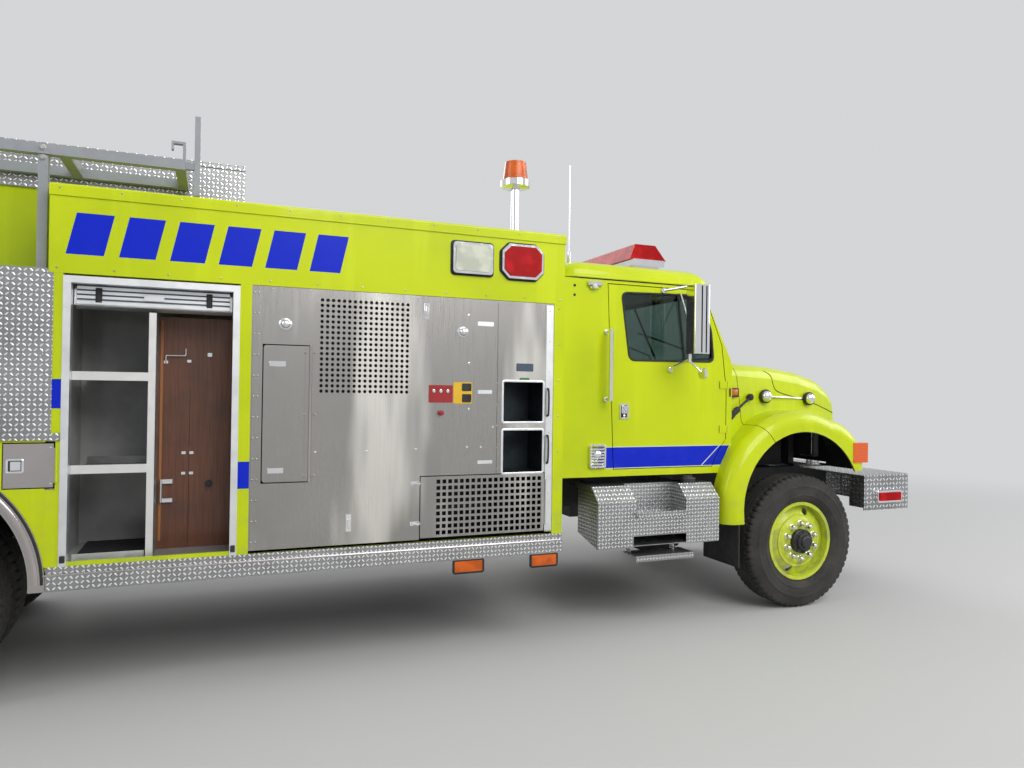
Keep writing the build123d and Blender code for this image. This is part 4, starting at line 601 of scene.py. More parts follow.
finishes = {
    "cabPaint": paint("lime_paint_cab", limeYellow, ("cab",), shadeCentre=-1.25),
    "roofPaint": paint("lime_paint_roof", limeYellow, shadeCentre=-1.25),
    "bodyPaint": paint("lime_paint_body", limeYellow, ("posts",)),
    "bandPaint": paint("lime_paint_band", limeYellow, ("blocks",), grime=0.1),
    "plainPaint": paint("lime_paint", limeYellow, shadeCentre=-0.03),
    "cleanPaint": paint("lime_paint_panels", limeYellow),
    "wheelPaint": paint("lime_paint_wheels", (0.58, 0.66, 0.045), grime=0.5),
    "chassis": dullCoat("black_chassis_paint", (0.018, 0.018, 0.019), 0.55, wear=0.5),
    "casting": dullCoat("grey_casting", (0.06, 0.062, 0.065), 0.6, grain=90, depth=0.6, metallic=0.4),
    "glass": clearGlass("window_glass", (0.21, 0.31, 0.28)),
    "vinyl": grainedVinyl("black_vinyl", (0.020, 0.020, 0.022)),
    "dash": dullCoat("dash_plastic", (0.028, 0.029, 0.032), 0.62, grain=420, depth=0.4, wear=0.15),
    "tread": treadPlate("tread_plate"),
    # a copy of the tread plate 6 % darker
    "treadDark": treadPlate("tread_plate_darker", tone=0.94),
    "treadWide": treadPlate("tread_plate_bumper", 0.036),
    "rubber": dullCoat("black_rubber", (0.016, 0.016, 0.016), 0.75, wear=0.35),
    "stainless": stainless("brushed_stainless", tone=(0.40, 0.385, 0.365), roughness=0.30, reflectionStreaks=0.85),
    "polished": stainless("polished_stainless", "x", (0.52, 0.49, 0.475), 0.12),
    "aluminium": plainMetal("satin_aluminium", (0.78, 0.79, 0.80), 0.42),
    "bay": bayMetal("bay_metal"),
    "board": boardWood("brown_board"),
    "rackGrey": dullCoat("grey_rack_paint", (0.27, 0.285, 0.305), 0.45, wear=0.3),
    "chrome": plainMetal("chrome", (0.82, 0.82, 0.84), 0.07, 0.02, 0.08),
    "clearLens": lensPlastic("clear_lens", (0.60, 0.62, 0.50), 90, 0.15, 1.35),
    "redLens": lensPlastic("red_lens", (0.42, 0.002, 0.004), 70, 0.1, 1.6, 0.1),
    "amberLens": lensPlastic("amber_lens", (0.62, 0.105, 0.003), 80, 0.15, 1.5, 0.25),
    "frontLamps": frontLampPlastic("front_lamp_plastic"),
    "tyre": tyreRubber("tyre_rubber"),
    "hubBlack": dullCoat("black_hub_paint", (0.020, 0.020, 0.021), 0.38, grain=160, depth=0.2, wear=0.3),
    "seamBlack": dullCoat("dark_seam", (0.012, 0.014, 0.006), 0.8, wear=0.1),
    "orangeLens": lensPlastic("orange_lens", (0.62, 0.070, 0.012), 90, 0.1),
    "redPlate": dullCoat("red_plate_paint", (0.30, 0.012, 0.014), 0.42, wear=0.15),
    "yellowPlate": dullCoat("yellow_plate_paint", (0.70, 0.42, 0.012), 0.42, wear=0.15),
    "slatePlate": dullCoat("slate_plate_paint", (0.050, 0.075, 0.110), 0.42, wear=0.15),
    "greenPlate": dullCoat("green_strip_paint", (0.020, 0.16, 0.045), 0.42, wear=0.15),
    "boardEdge": dullCoat("orange_brown_edge", (0.34, 0.130, 0.040), 0.5, wear=0.2),
}

nodeFinish = {
    "cabPaint": ("cab_shell", "cab_door_left", "cab_door_right"),
    "roofPaint": ("cab_roof",),
    "plainPaint": ("rear_fenders", "hood"),
    "cleanPaint": ("rear_fender_panels",),
    "bodyPaint": ("body_frame",),
    "bandPaint": ("upper_band",),
    "wheelPaint": ("front_wheel_left", "front_wheel_right", "rear_wheels_left", "rear_wheels_right"),
    "chassis": ("frame_rails", "front_axle", "rear_axle", "leaf_springs", "knuckle_left",
                "knuckle_right", "tie_rod"),
    "casting": ("engine_block", "driveline"),
    "glass": ("cab_glass", "door_glass_left", "door_glass_right"),
    "vinyl": ("seats",),
    "dash": ("dashboard",),
    "tread": ("step_boxes", "rub_rails"),
    "treadWide": ("front_bumper",),
    "treadDark": ("tread_panels", "side_boards"),
    "rubber": ("wells_and_flaps",),
    "stainless": ("side_panels", "round_vent", "hatch", "vent_door"),
    "polished": ("fill_door", "fender_rings"),
    "aluminium": ("door_frames", "shutters"),
    "bay": ("shelves",),
    "board": ("tool_board",),
    "rackGrey": ("ladder_rack",),
    "chrome": ("bright_fittings", "grille", "mirror_left", "mirror_right"),
    "clearLens": ("clear_lenses",),
    "frontLamps": ("headlamps",),
    "redLens": ("red_lenses",),
    "amberLens": ("amber_lenses",),
    "tyre": ("front_tyre_left", "front_tyre_right", "rear_tyres_left", "rear_tyres_right"),
}

for finish, names in nodeFinish.items():
    for name in names:
        nodes[name].data.materials.clear()
        nodes[name].data.materials.append(finishes[finish])
print("finishes")


# Shapes: each returns points and faces in local (along, up, out) or world places

def gridFaces(rows, columns, closeRows=False, closeColumns=False):
    # Quads between neighbours of a rows x columns grid, joined round where it closes
    r = np.arange(rows if closeRows else rows - 1)
    c = np.arange(columns if closeColumns else columns - 1)
    r, c = np.meshgrid(r, c, indexing="ij")
    r2, c2 = (r + 1) % rows, (c + 1) % columns
    quads = np.stack([r * columns + c, r * columns + c2, r2 * columns + c2, r2 * columns + c], -1)
    return quads.reshape(-1, 4).tolist()


def joined(*shapes):
    # Several shapes as one
    points, faces, count = [], [], 0
    for p, f in shapes:
        points.append(p)
        faces += [[i + count for i in face] for face in f]
        count += len(p)
    return np.concatenate(points), faces


def copies(shape, places):
    # The same shape at each place of an n x 3 array
    points, faces = shape
    places = np.asarray(places, float).reshape(-1, 3)
    many = (points[None] + places[:, None]).reshape(-1, 3)
    steps = np.arange(len(places)) * len(points)
    return many, [[i + s for i in face] for s in steps.tolist() for face in faces]


def boxLine(x, z, corner, arc=5):
    # Outline of a rectangle with round corners: corner centre + radius * (cos t, sin t), t by quarters
    corner = max(min(corner, (x[1] - x[0]) / 2 - 1e-4, (z[1] - z[0]) / 2 - 1e-4), 2e-4)
    t = np.radians(np.arange(4)[:, None] * 90 + np.linspace(0, 90, arc)[None])
    cx = np.array([x[1] - corner, x[0] + corner, x[0] + corner, x[1] - corner])[:, None]
    cz = np.array([z[1] - corner, z[1] - corner, z[0] + corner, z[0] + corner])[:, None]
    return np.stack([cx + corner * np.cos(t), cz + corner * np.sin(t)], -1).reshape(-1, 2)


def polyLine(points, corner=0.004, arc=4):
    # Outline through corner points with each corner cut by a small round: start, end and a bulge between
    p = np.asarray(points, float)
    before, after = np.roll(p, 1, 0) - p, np.roll(p, -1, 0) - p
    back, on = (np.linalg.norm(v, axis=1)[:, None] for v in (before, after))
    cut = np.minimum(corner, 0.4 * np.minimum(back, on))
    a = p + before / back * cut
    b = p + after / on * cut
    t = np.linspace(0, 1, arc)[None, :, None]
    return ((1 - t) ** 2 * a[:, None] + 2 * t * (1 - t) * p[:, None] + t ** 2 * b[:, None]).reshape(-1, 2)


def inward(line):
    # Unit normals of a closed outline, pointing inwards whichever way the line runs (by the sign of its area)
    along = np.roll(line, -1, 0) - np.roll(line, 1, 0)
    along /= np.maximum(np.linalg.norm(along, axis=1), 1e-9)[:, None]
    ahead = np.roll(line, -1, 0)
    turn = np.sign(np.sum(line[:, 0] * ahead[:, 1] - ahead[:, 0] * line[:, 1]))
    return np.stack([-along[:, 1], along[:, 0]], -1) * turn


def capped(faces, rows, count):
    # The faces of a grid of closed rings with the first and last ring closed
    last = (rows - 1) * count
    return faces + [list(range(count))[::-1], list(range(last, last + count))]


def raised(line, steps):
    # A plate over a closed outline: one ring for each (inset, out) step, closed below and above
    n = inward(line)
    rings = [np.column_stack([line + n * inset, np.full(len(line), out)]) for inset, out in steps]
    faces = gridFaces(len(steps), len(line), closeColumns=True)
    return np.concatenate(rings), capped(faces, len(steps), len(line))


def pillow(x, z, corner, steps, arc=6):
    # A bulging plate with round corners: one smaller rectangle for each (inset, out) step
    count = 4 * arc
    rings = []
    for inset, out in steps:
        inner = (x[0] + inset, x[1] - inset), (z[0] + inset, z[1] - inset)
        line = boxLine(*inner, max(corner - inset, 0.004), arc)
        rings.append(np.column_stack([line, np.full(count, out)]))
    faces = gridFaces(len(steps), count, closeColumns=True)
    return np.concatenate(rings), capped(faces, len(steps), count)


def trimRound(line, profile):
    # A strip round a closed outline: a closed profile of (inset, out) points carried along it
    n = inward(line)
    rings = [np.column_stack([line + n * inset, np.full(len(line), out)]) for inset, out in profile]
    return np.concatenate(rings), gridFaces(len(profile), len(line), True, True)


def turned(profile, count=24):
    # A profile of (radius, out) points turned about the out axis
    t = np.arange(count) * 2 * np.pi / count
    r = np.array([p[0] for p in profile])[:, None]
    out = np.array([p[1] for p in profile])[:, None] + 0 * t[None]
    points = np.stack([r * np.cos(t)[None], r * np.sin(t)[None], out], -1).reshape(-1, 3)
    return points, capped(gridFaces(len(profile), count, closeColumns=True), len(profile), count)


def smoothPath(points, count):
    # Points spaced along a Catmull-Rom curve: 0.5 * (2b + (c-a)t + (2a-5b+4c-d)t^2 + (3b-a-3c+d)t^3)
    p = np.asarray(points, float)
    p = np.concatenate([[2 * p[0] - p[1]], p, [2 * p[-1] - p[-2]]])
    s = np.linspace(0, len(p) - 3 - 1e-9, count)
    i = s.astype(int)
    t = (s - i)[:, None]
    a, b, c, d = p[i], p[i + 1], p[i + 2], p[i + 3]
    square, cube = 2 * a - 5 * b + 4 * c - d, 3 * b - a - 3 * c + d
    return 0.5 * (2 * b + (c - a) * t + square * t ** 2 + cube * t ** 3)


def tube(path, radius, count=10, flat=1.0, lean=(0, 0, 1)):
    # A round or flattened section carried along a path: path + radius * (cos t * side + flat * sin t * over)
    p = np.asarray(path, float)
    ahead = np.roll(p, -1, 0) - np.roll(p, 1, 0)
    ahead[0], ahead[-1] = p[1] - p[0], p[-1] - p[-2]
    ahead /= np.linalg.norm(ahead, axis=1)[:, None]
    lean = np.asarray(lean, float)
    side = np.cross(ahead, lean)
    weak = np.linalg.norm(side, axis=1) < 0.15
    side[weak] = np.cross(ahead[weak], np.array([0.0, 1.0, 0.02]))
    side /= np.linalg.norm(side, axis=1)[:, None]
    over = np.cross(side, ahead)
    t = np.arange(count) * 2 * np.pi / count
    r = np.broadcast_to(np.asarray(radius, float), (len(p),))[:, None, None]
    ring = np.cos(t)[None, :, None] * side[:, None] + flat * np.sin(t)[None, :, None] * over[:, None]
    points = (p[:, None] + r * ring).reshape(-1, 3)
    return points, capped(gridFaces(len(p), count, closeColumns=True), len(p), count)


def slab(x, y, z, edge=0.002):
    # A box with its upright edges rounded and its top and bottom edges cut: (along, across, up) as given
    line = boxLine(x, y, edge * 1.5, 3)
    e = min(edge, (z[1] - z[0]) / 3)
    return raised(line, ((e, z[0]), (0, z[0] + e), (0, z[1] - e), (e, z[1])))


def plate(x, z, high, corner=0.003, cut=0.001, foot=-0.001, arc=3):
    # A thin plate with round corners, from foot to high above the face, its outer edge cut back
    return raised(boxLine(x, z, corner, arc), ((0, foot), (0, high - cut), (cut, high)))


def moved(shape, x, y, z=0.0):
    points, faces = shape
    return points + np.array([x, y, z]), faces


def scattered(shape, places):
    # The same shape at each (along, up) place
    return copies(shape, [(x, z, 0) for x, z in places])


def onSide(shape, side, plane):
    # Local (along, up, out) on the face at Y = side * plane; along is measured from the front axle
    p, faces = shape
    return np.column_stack([p[:, 0] + frontAxle, side * (plane + p[:, 2]), p[:, 1]]), faces


def onTop(shape):
    # Local (along, across, up) from the front axle to world places
    return moved(shape, frontAxle, 0)


def onEnd(shape, x, toward):
    # Local (across, up, out) on a face at X, looking forward (1) or back (-1)
    p, faces = shape
    return np.column_stack([x + frontAxle + toward * p[:, 2], p[:, 0], p[:, 1]]), faces


def piece(name, shape, finish, body="chassis", sharp=32):
    # A named object: doubles merged, faces turned outwards, soft shading between sharp edges
    points, faces = shape
    mesh = bpy.data.meshes.new(name)
    mesh.from_pydata(points.tolist(), [], faces)
    work = bmesh.new()
    work.from_mesh(mesh)
    bmesh.ops.remove_doubles(work, verts=work.verts, dist=4e-6)
    bmesh.ops.recalc_face_normals(work, faces=work.faces)
    work.to_mesh(mesh)
    work.free()
    mesh.shade_smooth()
    mesh.set_sharp_from_angle(angle=math.radians(sharp))
    mesh.materials.append(finishes[finish])
    made = bpy.data.objects.new(name, mesh)
    bpy.context.scene.collection.objects.link(made)
    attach(made, body)
    return made


def sidePiece(name, shape, side, plane, finish, body="chassis"):
    return piece(name, onSide(shape, side, plane), finish, body)


skinTrees = {}


def skins(name):
    if name not in skinTrees:
        mesh = nodes[name].data
        corners = np.empty(len(mesh.vertices) * 3)
        mesh.vertices.foreach_get("co", corners)
        faces = [tuple(p.vertices) for p in mesh.polygons]
        skinTrees[name] = BVHTree.FromPolygons(corners.reshape(-1, 3).tolist(), faces)
    return skinTrees[name]


def outermost(names, x, z, side, start):
    # How far out a line along Y from outside first meets the named nodes, or None
    best = None
    for name in names:
        hit = skins(name).ray_cast(Vector((x + frontAxle, side * start, z)), Vector((0, -side, 0)))[0]
        if hit is not None and (best is None or hit.y * side > best):
            best = hit.y * side
    return best


def skinAt(names, places, side):
    # Points on the skin at (along, up) places, or 1 m out where there is none
    outs = [outermost(names, x, z, side, 2.0) for x, z in places]
    outs = [1.0 if out is None else out for out in outs]
    return np.array([(x + frontAxle, side * out, z) for (x, z), out in zip(places, outs)])


# Tyres and wheels

tyre = {
    "radius": 0.520, "crown": 0.004, "crownSpan": 0.09, "half": 0.140,
    "pitches": 60, "perPitch": 6, "treadHalf": 0.086, "ribs": (-0.072, -0.037, 0.0, 0.037, 0.072),
    "grooves": (-0.056, -0.019, 0.019, 0.056), "grooveHalf": 0.0052, "grooveDepth": 0.011, "zigzag": 0.0032,
    "slotDepth": 0.009, "slotShare": 2, "slotFrom": 0.070,
    "wall": (                        # radius and half width from the bead out to the shoulder
        (0.2926, 0.0880), (0.3000, 0.0925), (0.3075, 0.0990), (0.3120, 0.1075), (0.3150, 0.1120),
        (0.3190, 0.1128), (0.3260, 0.1205), (0.3400, 0.1290), (0.3580, 0.1355), (0.3610, 0.1383),
        (0.3660, 0.1384), (0.3690, 0.1366), (0.3860, 0.1392), (0.4060, 0.1398), (0.4240, 0.1388),
        (0.4270, 0.1400), (0.4330, 0.1396), (0.4360, 0.1368), (0.4520, 0.1322), (0.4650, 0.1280),
        (0.4860, 0.1228), (0.4960, 0.1203), (0.5060, 0.1165), (0.5135, 0.1080), (0.5165, 0.0960)),
}


def tyreShape(t):
    # A grid of turn and section, from bead to bead over the tread. The tread's radius is
    # radius - crown * (y / span)^2 - groove or slot depth; grooves weave by a triangle wave of the turn
    wall = np.array(t["wall"])
    g = t["grooveHalf"]
    tread = [(y, 0, 0) for y in (-t["treadHalf"], *t["ribs"], t["treadHalf"])]
    for y in t["grooves"]:
        tread += [(y - g, 0, 1), (y - g * 0.7, 1, 1), (y + g * 0.7, 1, 1), (y + g, 0, 1)]
    tread = np.array(sorted(tread))
    plain = 0 * wall[:, 0]
    across = np.concatenate([-wall[:, 1], tread[:, 0], wall[::-1, 1]])
    crowned = t["radius"] - t["crown"] * (tread[:, 0] / t["crownSpan"]) ** 2
    radius = np.concatenate([wall[:, 0], crowned, wall[::-1, 0]])
    deep, weave = (np.concatenate([plain, tread[:, k], plain]) for k in (1, 2))
    count = t["pitches"] * t["perPitch"]
    turn = np.arange(count) * 2 * np.pi / count
    phase = np.arange(count) / t["perPitch"]
    wave = 2 * np.abs(2 * (phase - np.floor(phase + 0.5))) - 1
    slot = (np.arange(count) % t["perPitch"]) < t["slotShare"]
    shoulder = (np.abs(across) > t["slotFrom"]) & (radius > 0.494)
    cut = t["slotDepth"] * slot[:, None] * shoulder[None] * np.clip((radius[None] - 0.488) / 0.012, 0, 1)
    r = radius[None] - t["grooveDepth"] * deep[None] - cut
    y = across[None] + t["zigzag"] * weave[None] * wave[:, None]
    points = np.stack([r * np.cos(turn)[:, None], y, r * np.sin(turn)[:, None]], -1)
    return points.reshape(-1, 3), gridFaces(count, len(across), True, True)


def wheelCentre(node):
    low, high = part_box(node)
    return (low.x + high.x) / 2, (low.y + high.y) / 2, (low.z + high.z) / 2


def tyrePieces(word):
    # The treaded front tyre and rear pair of one side, in place of the plain ones
    shape = tyreShape(tyre)
    x, y, z = wheelCentre("front_tyre_" + word)
    made = piece("front_tyre_tread_" + word, copies(shape, [(x, y, z)]), "tyre", "front_wheel_" + word)
    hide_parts("front_tyre_" + word)
    x, y, z = wheelCentre("rear_tyres_" + word)
    low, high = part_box("rear_tyres_" + word)
    spread = (high.y - low.y) / 2 - tyre["half"]
    pair = copies(shape, [(x, y - spread, z), (x, y + spread, z)])
    made = piece("rear_tyre_treads_" + word, pair, "tyre", "rear_wheels_" + word)
    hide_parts("rear_tyres_" + word)


for _, word in sides:
    tyrePieces(word)
print("tyres")

wheelTrim = {
    "nuts": 10, "nutCircle": 0.138, "nutTurn": 18, "nutRadius": 0.019, "nutReach": 0.045,
    "capBolts": 8, "capCircle": 0.081,
    "front": {
        "node": "front_tyre_", "body": "front_wheel_", "flat": 1.095,    # outer flat of the disc
        "hub": ((0.0945, 0.001), (0.0945, 0.034), (0.0900, 0.0385), (0.0720, 0.0400), (0.0690, 0.0430),
                (0.0690, 0.0600), (0.0640, 0.0660), (0.0500, 0.0670), (0.0480, 0.0700), (0.0470, 0.0800),
                (0.0400, 0.0850), (0.0004, 0.0860)),
        "capBolt": ((0.0075, 0.036), (0.0075, 0.047), (0.005, 0.050), (0.0005, 0.0505)),
    },
    "rear": {
        "node": "rear_tyres_", "body": "rear_wheels_", "flat": 0.834,
        "hub": ((0.0945, 0.001), (0.0945, 0.150), (0.0900, 0.1545), (0.0700, 0.1560), (0.0670, 0.1660),
                (0.0600, 0.1700), (0.0004, 0.1710)),
        "capBolt": ((0.007, 0.15), (0.007, 0.163), (0.0005, 0.165)),
    },
}


def ringOf(shape, count, circle, turn=0.0):
    # Copies of a shape round the out axis, each kept upright
    t = np.radians(turn) + np.arange(count) * 2 * np.pi / count
    return copies(shape, np.column_stack([circle * np.cos(t), circle * np.sin(t), 0 * t]))


def lugNut(t):
    # Six-sided nut on a washer with a domed cap
    r, h = t["nutRadius"], t["nutReach"]
    washer = turned(((r * 1.3, -0.001), (r * 1.3, 0.004), (r * 1.15, 0.006)), 16)
    body = turned(((r * 1.1, 0.004), (r * 1.1, h * 0.6), (r * 0.9, h * 0.72)), 6)
    cap = turned(((r * 0.78, h * 0.6), (r * 0.78, h * 0.85), (r * 0.5, h * 0.98), (0.001, h)), 12)
    return joined(washer, body, cap)


def wheelDress(side, word):
    # Nuts and hub cover of one front wheel and one rear pair
    t = wheelTrim
    nuts = ringOf(lugNut(t), t["nuts"], t["nutCircle"], t["nutTurn"])
    for kind in ("front", "rear"):
        w = t[kind]
        x, y, z = wheelCentre(w["node"] + word)
        cover = joined(turned(w["hub"], 36), ringOf(turned(w["capBolt"], 6), t["capBolts"], t["capCircle"]))
        for name, shape, finish in (("_nuts_", nuts, "chrome"), ("_hub_cover_", cover, "hubBlack")):
            points, faces = onSide(shape, side, w["flat"])
            placed = points + np.array([x - frontAxle, 0, z]), faces
            piece(kind + name + word, placed, finish, w["body"] + word)


for side, word in sides:
    wheelDress(side, word)
print("wheels")


# Cab: gaskets, handles, lamps and wipers

cabTrim = {
    "side": 1.0,
    "window": ((-1.583, 2.392), (-0.950, 2.410), (-0.803, 2.170), (-0.775, 1.916), (-1.513, 1.908)),
    "windowCorner": 0.047,
    "gasket": ((-0.009, -0.002), (-0.009, 0.003), (-0.006, 0.005), (0.000, 0.0055), (0.004, 0.004),
               (0.006, 0.000), (0.007, -0.012), (0.002, -0.014)),
    "ventBar": ((-1.098, 2.405, -0.006), (-1.031, 1.915, -0.006)),
    "handle": ((-1.596, -1.515), (1.478, 1.592)),
    "cornerLamp": ((-1.842, -1.705), (1.130, 1.300)),
    "topLamp": (-1.811, 2.431, 0.021),
    "vents": ((-1.966, 2.421), (-1.966, 2.354)),
    "marker": ((-0.616, -0.468), (1.654, 1.712)),
    "windshieldTop": (-0.890, 2.475), "windshieldFoot": (-0.598, 1.905), "windshieldMargin": 0.080,
    "wipers": ((-0.55, -0.12), (0.10, 0.53)),            # pivot and blade middle, across
    "backWindow": ((-0.520, 0.520), (1.800, 2.300)), "backWall": -2.060,
}


def doorPieces(side, word):
    t = cabTrim
    door = "cab_door_" + word
    gasket = trimRound(polyLine(t["window"], t["windowCorner"], 7), t["gasket"])
    bar = tube(t["ventBar"], 0.011, 8, flat=0.9)
    sidePiece("window_gasket_" + word, joined(gasket, bar), side, t["side"], "rubber", door)
    x, z = t["handle"]
    line = boxLine(x, z, 0.014, 6)
    pan = trimRound(line, ((0.0, -0.001), (0.0, 0.004), (0.004, 0.009), (0.010, 0.009), (0.015, 0.003),
                           (0.018, -0.001)))
    cup = raised(line, ((0.012, -0.0015), (0.012, 0.0015), (0.016, 0.002)))
    paddle = raised(boxLine((x[0] + 0.018, x[1] - 0.018), (z[0] + 0.040, z[1] - 0.016), 0.008),
                    ((0, 0.001), (0, 0.009), (0.003, 0.012), (0.010, 0.0125)))
    button = turned(((0.009, 0.001), (0.009, 0.008), (0.006, 0.010), (0.0005, 0.0103)), 16)
    button = moved(button, sum(x) / 2, z[0] + 0.024)
    sidePiece("door_handle_" + word, joined(pan, paddle, button), side, t["side"], "chrome", door)
    sidePiece("door_handle_cup_" + word, cup, side, t["side"], "rubber", door)


def cabSidePieces(side, word):
    # Ribbed lamp at the cab's lower corner, small lamp on a bracket at the top and two vent holes
    t = cabTrim
    x, z = t["cornerLamp"]
    bezel = trimRound(boxLine(x, z, 0.020, 6), ((0, -0.001), (0, 0.018), (0.006, 0.024), (0.014, 0.022),
                                                (0.020, 0.010), (0.022, -0.001)))
    ribs = [plate((x[0] + 0.018, x[1] - 0.018), (v, v + 0.014), 0.014, 0.005, 0.004, 0.001, 5)
            for v in np.arange(z[0] + 0.022, z[1] - 0.034, 0.021)]
    dome = turned(((0.030, 0.008), (0.030, 0.016), (0.022, 0.024), (0.010, 0.028), (0.0005, 0.029)), 20)
    dome = moved(dome, sum(x) / 2, sum(z) / 2 + 0.012)
    sidePiece("cab_corner_lamp_" + word, joined(bezel, dome, *ribs), side, t["side"], "chrome")
    cx, cz, r = t["topLamp"]
    bracket = joined(slab((-0.058, 0.058), (-0.004, 0.026), (-0.001, 0.026), 0.004),
                     slab((-0.040, 0.030), (-0.026, -0.006), (-0.001, 0.020), 0.004))
    small = turned(((r, 0.018), (r, 0.026), (r * 0.8, 0.032), (r * 0.45, 0.034), (0.0005, 0.0345)), 20)
    sidePiece("cab_top_bracket_" + word, moved(bracket, cx, cz), side, t["side"], "chrome")
    sidePiece("cab_top_lamp_" + word, moved(small, cx - 0.006, cz - 0.010), side, t["side"], "clearLens")
    hole = turned(((0.010, -0.001), (0.010, 0.0016), (0.006, 0.002), (0.0005, 0.002)), 14)
    sidePiece("cab_vents_" + word, scattered(hole, t["vents"]), side, t["side"], "rubber")


def windshieldFrame(shape):
    # Local (across, up the slope, out) of the raked windshield to world places
    top, foot = np.array(cabTrim["windshieldTop"]), np.array(cabTrim["windshieldFoot"])
    middle = (top + foot) / 2
    up = (top - foot) / np.linalg.norm(top - foot)
    out = np.array([up[1], -up[0]])
    p, faces = shape
    x, z = (middle[k] + p[:, 1] * up[k] + p[:, 2] * out[k] for k in (0, 1))
    return np.column_stack([x + frontAxle, p[:, 0], z]), faces


def windshieldPieces():
    t = cabTrim
    top, foot = np.array(t["windshieldTop"]), np.array(t["windshieldFoot"])
    half = t["side"] - t["windshieldMargin"]
    high = (np.linalg.norm(top - foot) - 1.4 * t["windshieldMargin"]) / 2
    ring = trimRound(boxLine((-half, half), (-high, high), 0.060, 8), t["gasket"])
    middle = slab((-0.008, 0.008), (-high, high), (-0.012, 0.003))
    piece("windshield_gasket", windshieldFrame(joined(ring, middle)), "rubber")
    arms = []
    cap = turned(((0.020, 0.0), (0.020, 0.014), (0.012, 0.022), (0.0005, 0.023)), 16)
    for pivot, tip in t["wipers"]:
        base = -high - 0.035
        arm = [(pivot, base, 0.012), (pivot + 0.03, -high + 0.05, 0.026), (tip, -high + 0.20, 0.020)]
        arms.append(tube(arm, 0.006, 8))
        arms.append(tube([(tip - 0.26, -high + 0.115, 0.012), (tip, -high + 0.20, 0.016),
                          (tip + 0.26, -high + 0.285, 0.012)], 0.007, 8, flat=1.2))
        arms.append(moved(cap, pivot, base))
    piece("wipers", windshieldFrame(joined(*arms)), "rubber")
    back = trimRound(boxLine(*t["backWindow"], 0.03, 6), t["gasket"])
    piece("back_window_gasket", onEnd(back, t["backWall"], -1), "rubber")


for side, word in sides:
    doorPieces(side, word)
    cabSidePieces(side, word)
windshieldPieces()
print("cab trim")


# Hood: creases, latches, pods, lamp bezels and the screen behind the grille

hoodTrim = {
    "crease": ((-0.146, 1.862), (-0.087, 1.830), (-0.053, 1.730), (0.011, 1.688),
               (0.226, 1.642), (0.420, 1.600), (0.560, 1.560), (0.690, 1.520)),
    "creaseRadius": 0.0035,
    "latch": ((-0.585, 1.492), (-0.490, 1.566), (-0.356, 1.648)),    # foot, middle and upper end
    "pods": ((-0.180, 0.872, 1.655), (0.330, 0.812, 1.640)), "podRadius": 0.054, "podOut": 0.034,
    "headlamp": ((0.800, 1.000), (1.180, 1.320)), "lampFace": 0.614,
    "screen": ((0.640, 0.648), (-0.548, 0.548), (1.132, 1.588)),
}


def latchPieces(side, word):
    # Rubber hood latch: a strap, its knob at the upper end and a waisted grip below
    foot, middle, upper = skinAt(("hood", "rear_fenders"), hoodTrim["latch"], side)
    out = np.array([0, side * 1.0, 0])
    strap = smoothPath([upper + out * 0.030, middle + out * 0.034,
                        foot * 0.45 + middle * 0.55 + out * 0.032], 14)
    along = (foot - middle) / np.linalg.norm(foot - middle)
    grip = tube([middle + out * 0.034, middle + along * 0.016 + out * 0.034,
                 middle + along * 0.030 + out * 0.032, middle + along * 0.075 + out * 0.030,
                 foot + out * 0.028, foot + along * 0.010 + out * 0.026],
                (0.010, 0.022, 0.027, 0.021, 0.025, 0.014), 12, flat=0.8, lean=(0, side, 0))
    knob = tube([upper + out * reach for reach in (0.003, 0.016, 0.036, 0.046)],
                (0.018, 0.027, 0.027, 0.014), 16)
    band = tube(strap, 0.010, 10, flat=0.6, lean=(0, side, 0))
    piece("hood_latch_" + word, joined(band, grip, knob), "rubber", "hood")


def hoodPieces(side, word):
    t = hoodTrim
    flat = np.column_stack([t["crease"], np.zeros(len(t["crease"]))])
    path = skinAt(("hood",), smoothPath(flat, 60)[:, :2].tolist(), side)
    piece("hood_crease_" + word, tube(path, t["creaseRadius"], 6), "seamBlack", "hood")
    latchPieces(side, word)
    r = t["podRadius"]
    ring = turned(((r * 0.90, -0.030), (r, -0.024), (r * 1.06, -0.004), (r, 0.006), (r * 0.86, 0.008)), 32)
    dome = turned(((r * 0.86, 0.004), (r * 0.80, 0.016), (r * 0.60, 0.029),
                   (r * 0.32, 0.037), (0.0004, 0.039)), 32)
    for name, shape, finish in (("pod_rings_", ring, "hubBlack"), ("pod_domes_", dome, "chrome")):
        both = [moved(onSide(shape, side, y + t["podOut"]), x, 0, z) for x, y, z in t["pods"]]
        piece(name + word, joined(*both), finish, "hood")
    (near, far), z = t["headlamp"]
    y = (near, far) if side > 0 else (-far, -near)
    bezel = trimRound(boxLine(y, z, 0.014, 6), ((-0.014, -0.016), (-0.014, 0.006), (-0.008, 0.012),
                                                (0.006, 0.012), (0.012, 0.004), (0.012, -0.004)))
    bulge = pillow(y, z, 0.020, ((0.010, -0.002), (0.010, 0.003), (0.020, 0.007), (0.045, 0.0095)))
    piece("headlamp_bezel_" + word, onEnd(bezel, t["lampFace"], 1), "chrome", "hood")
    piece("headlamp_face_" + word, onEnd(bulge, t["lampFace"], 1), "clearLens", "hood")


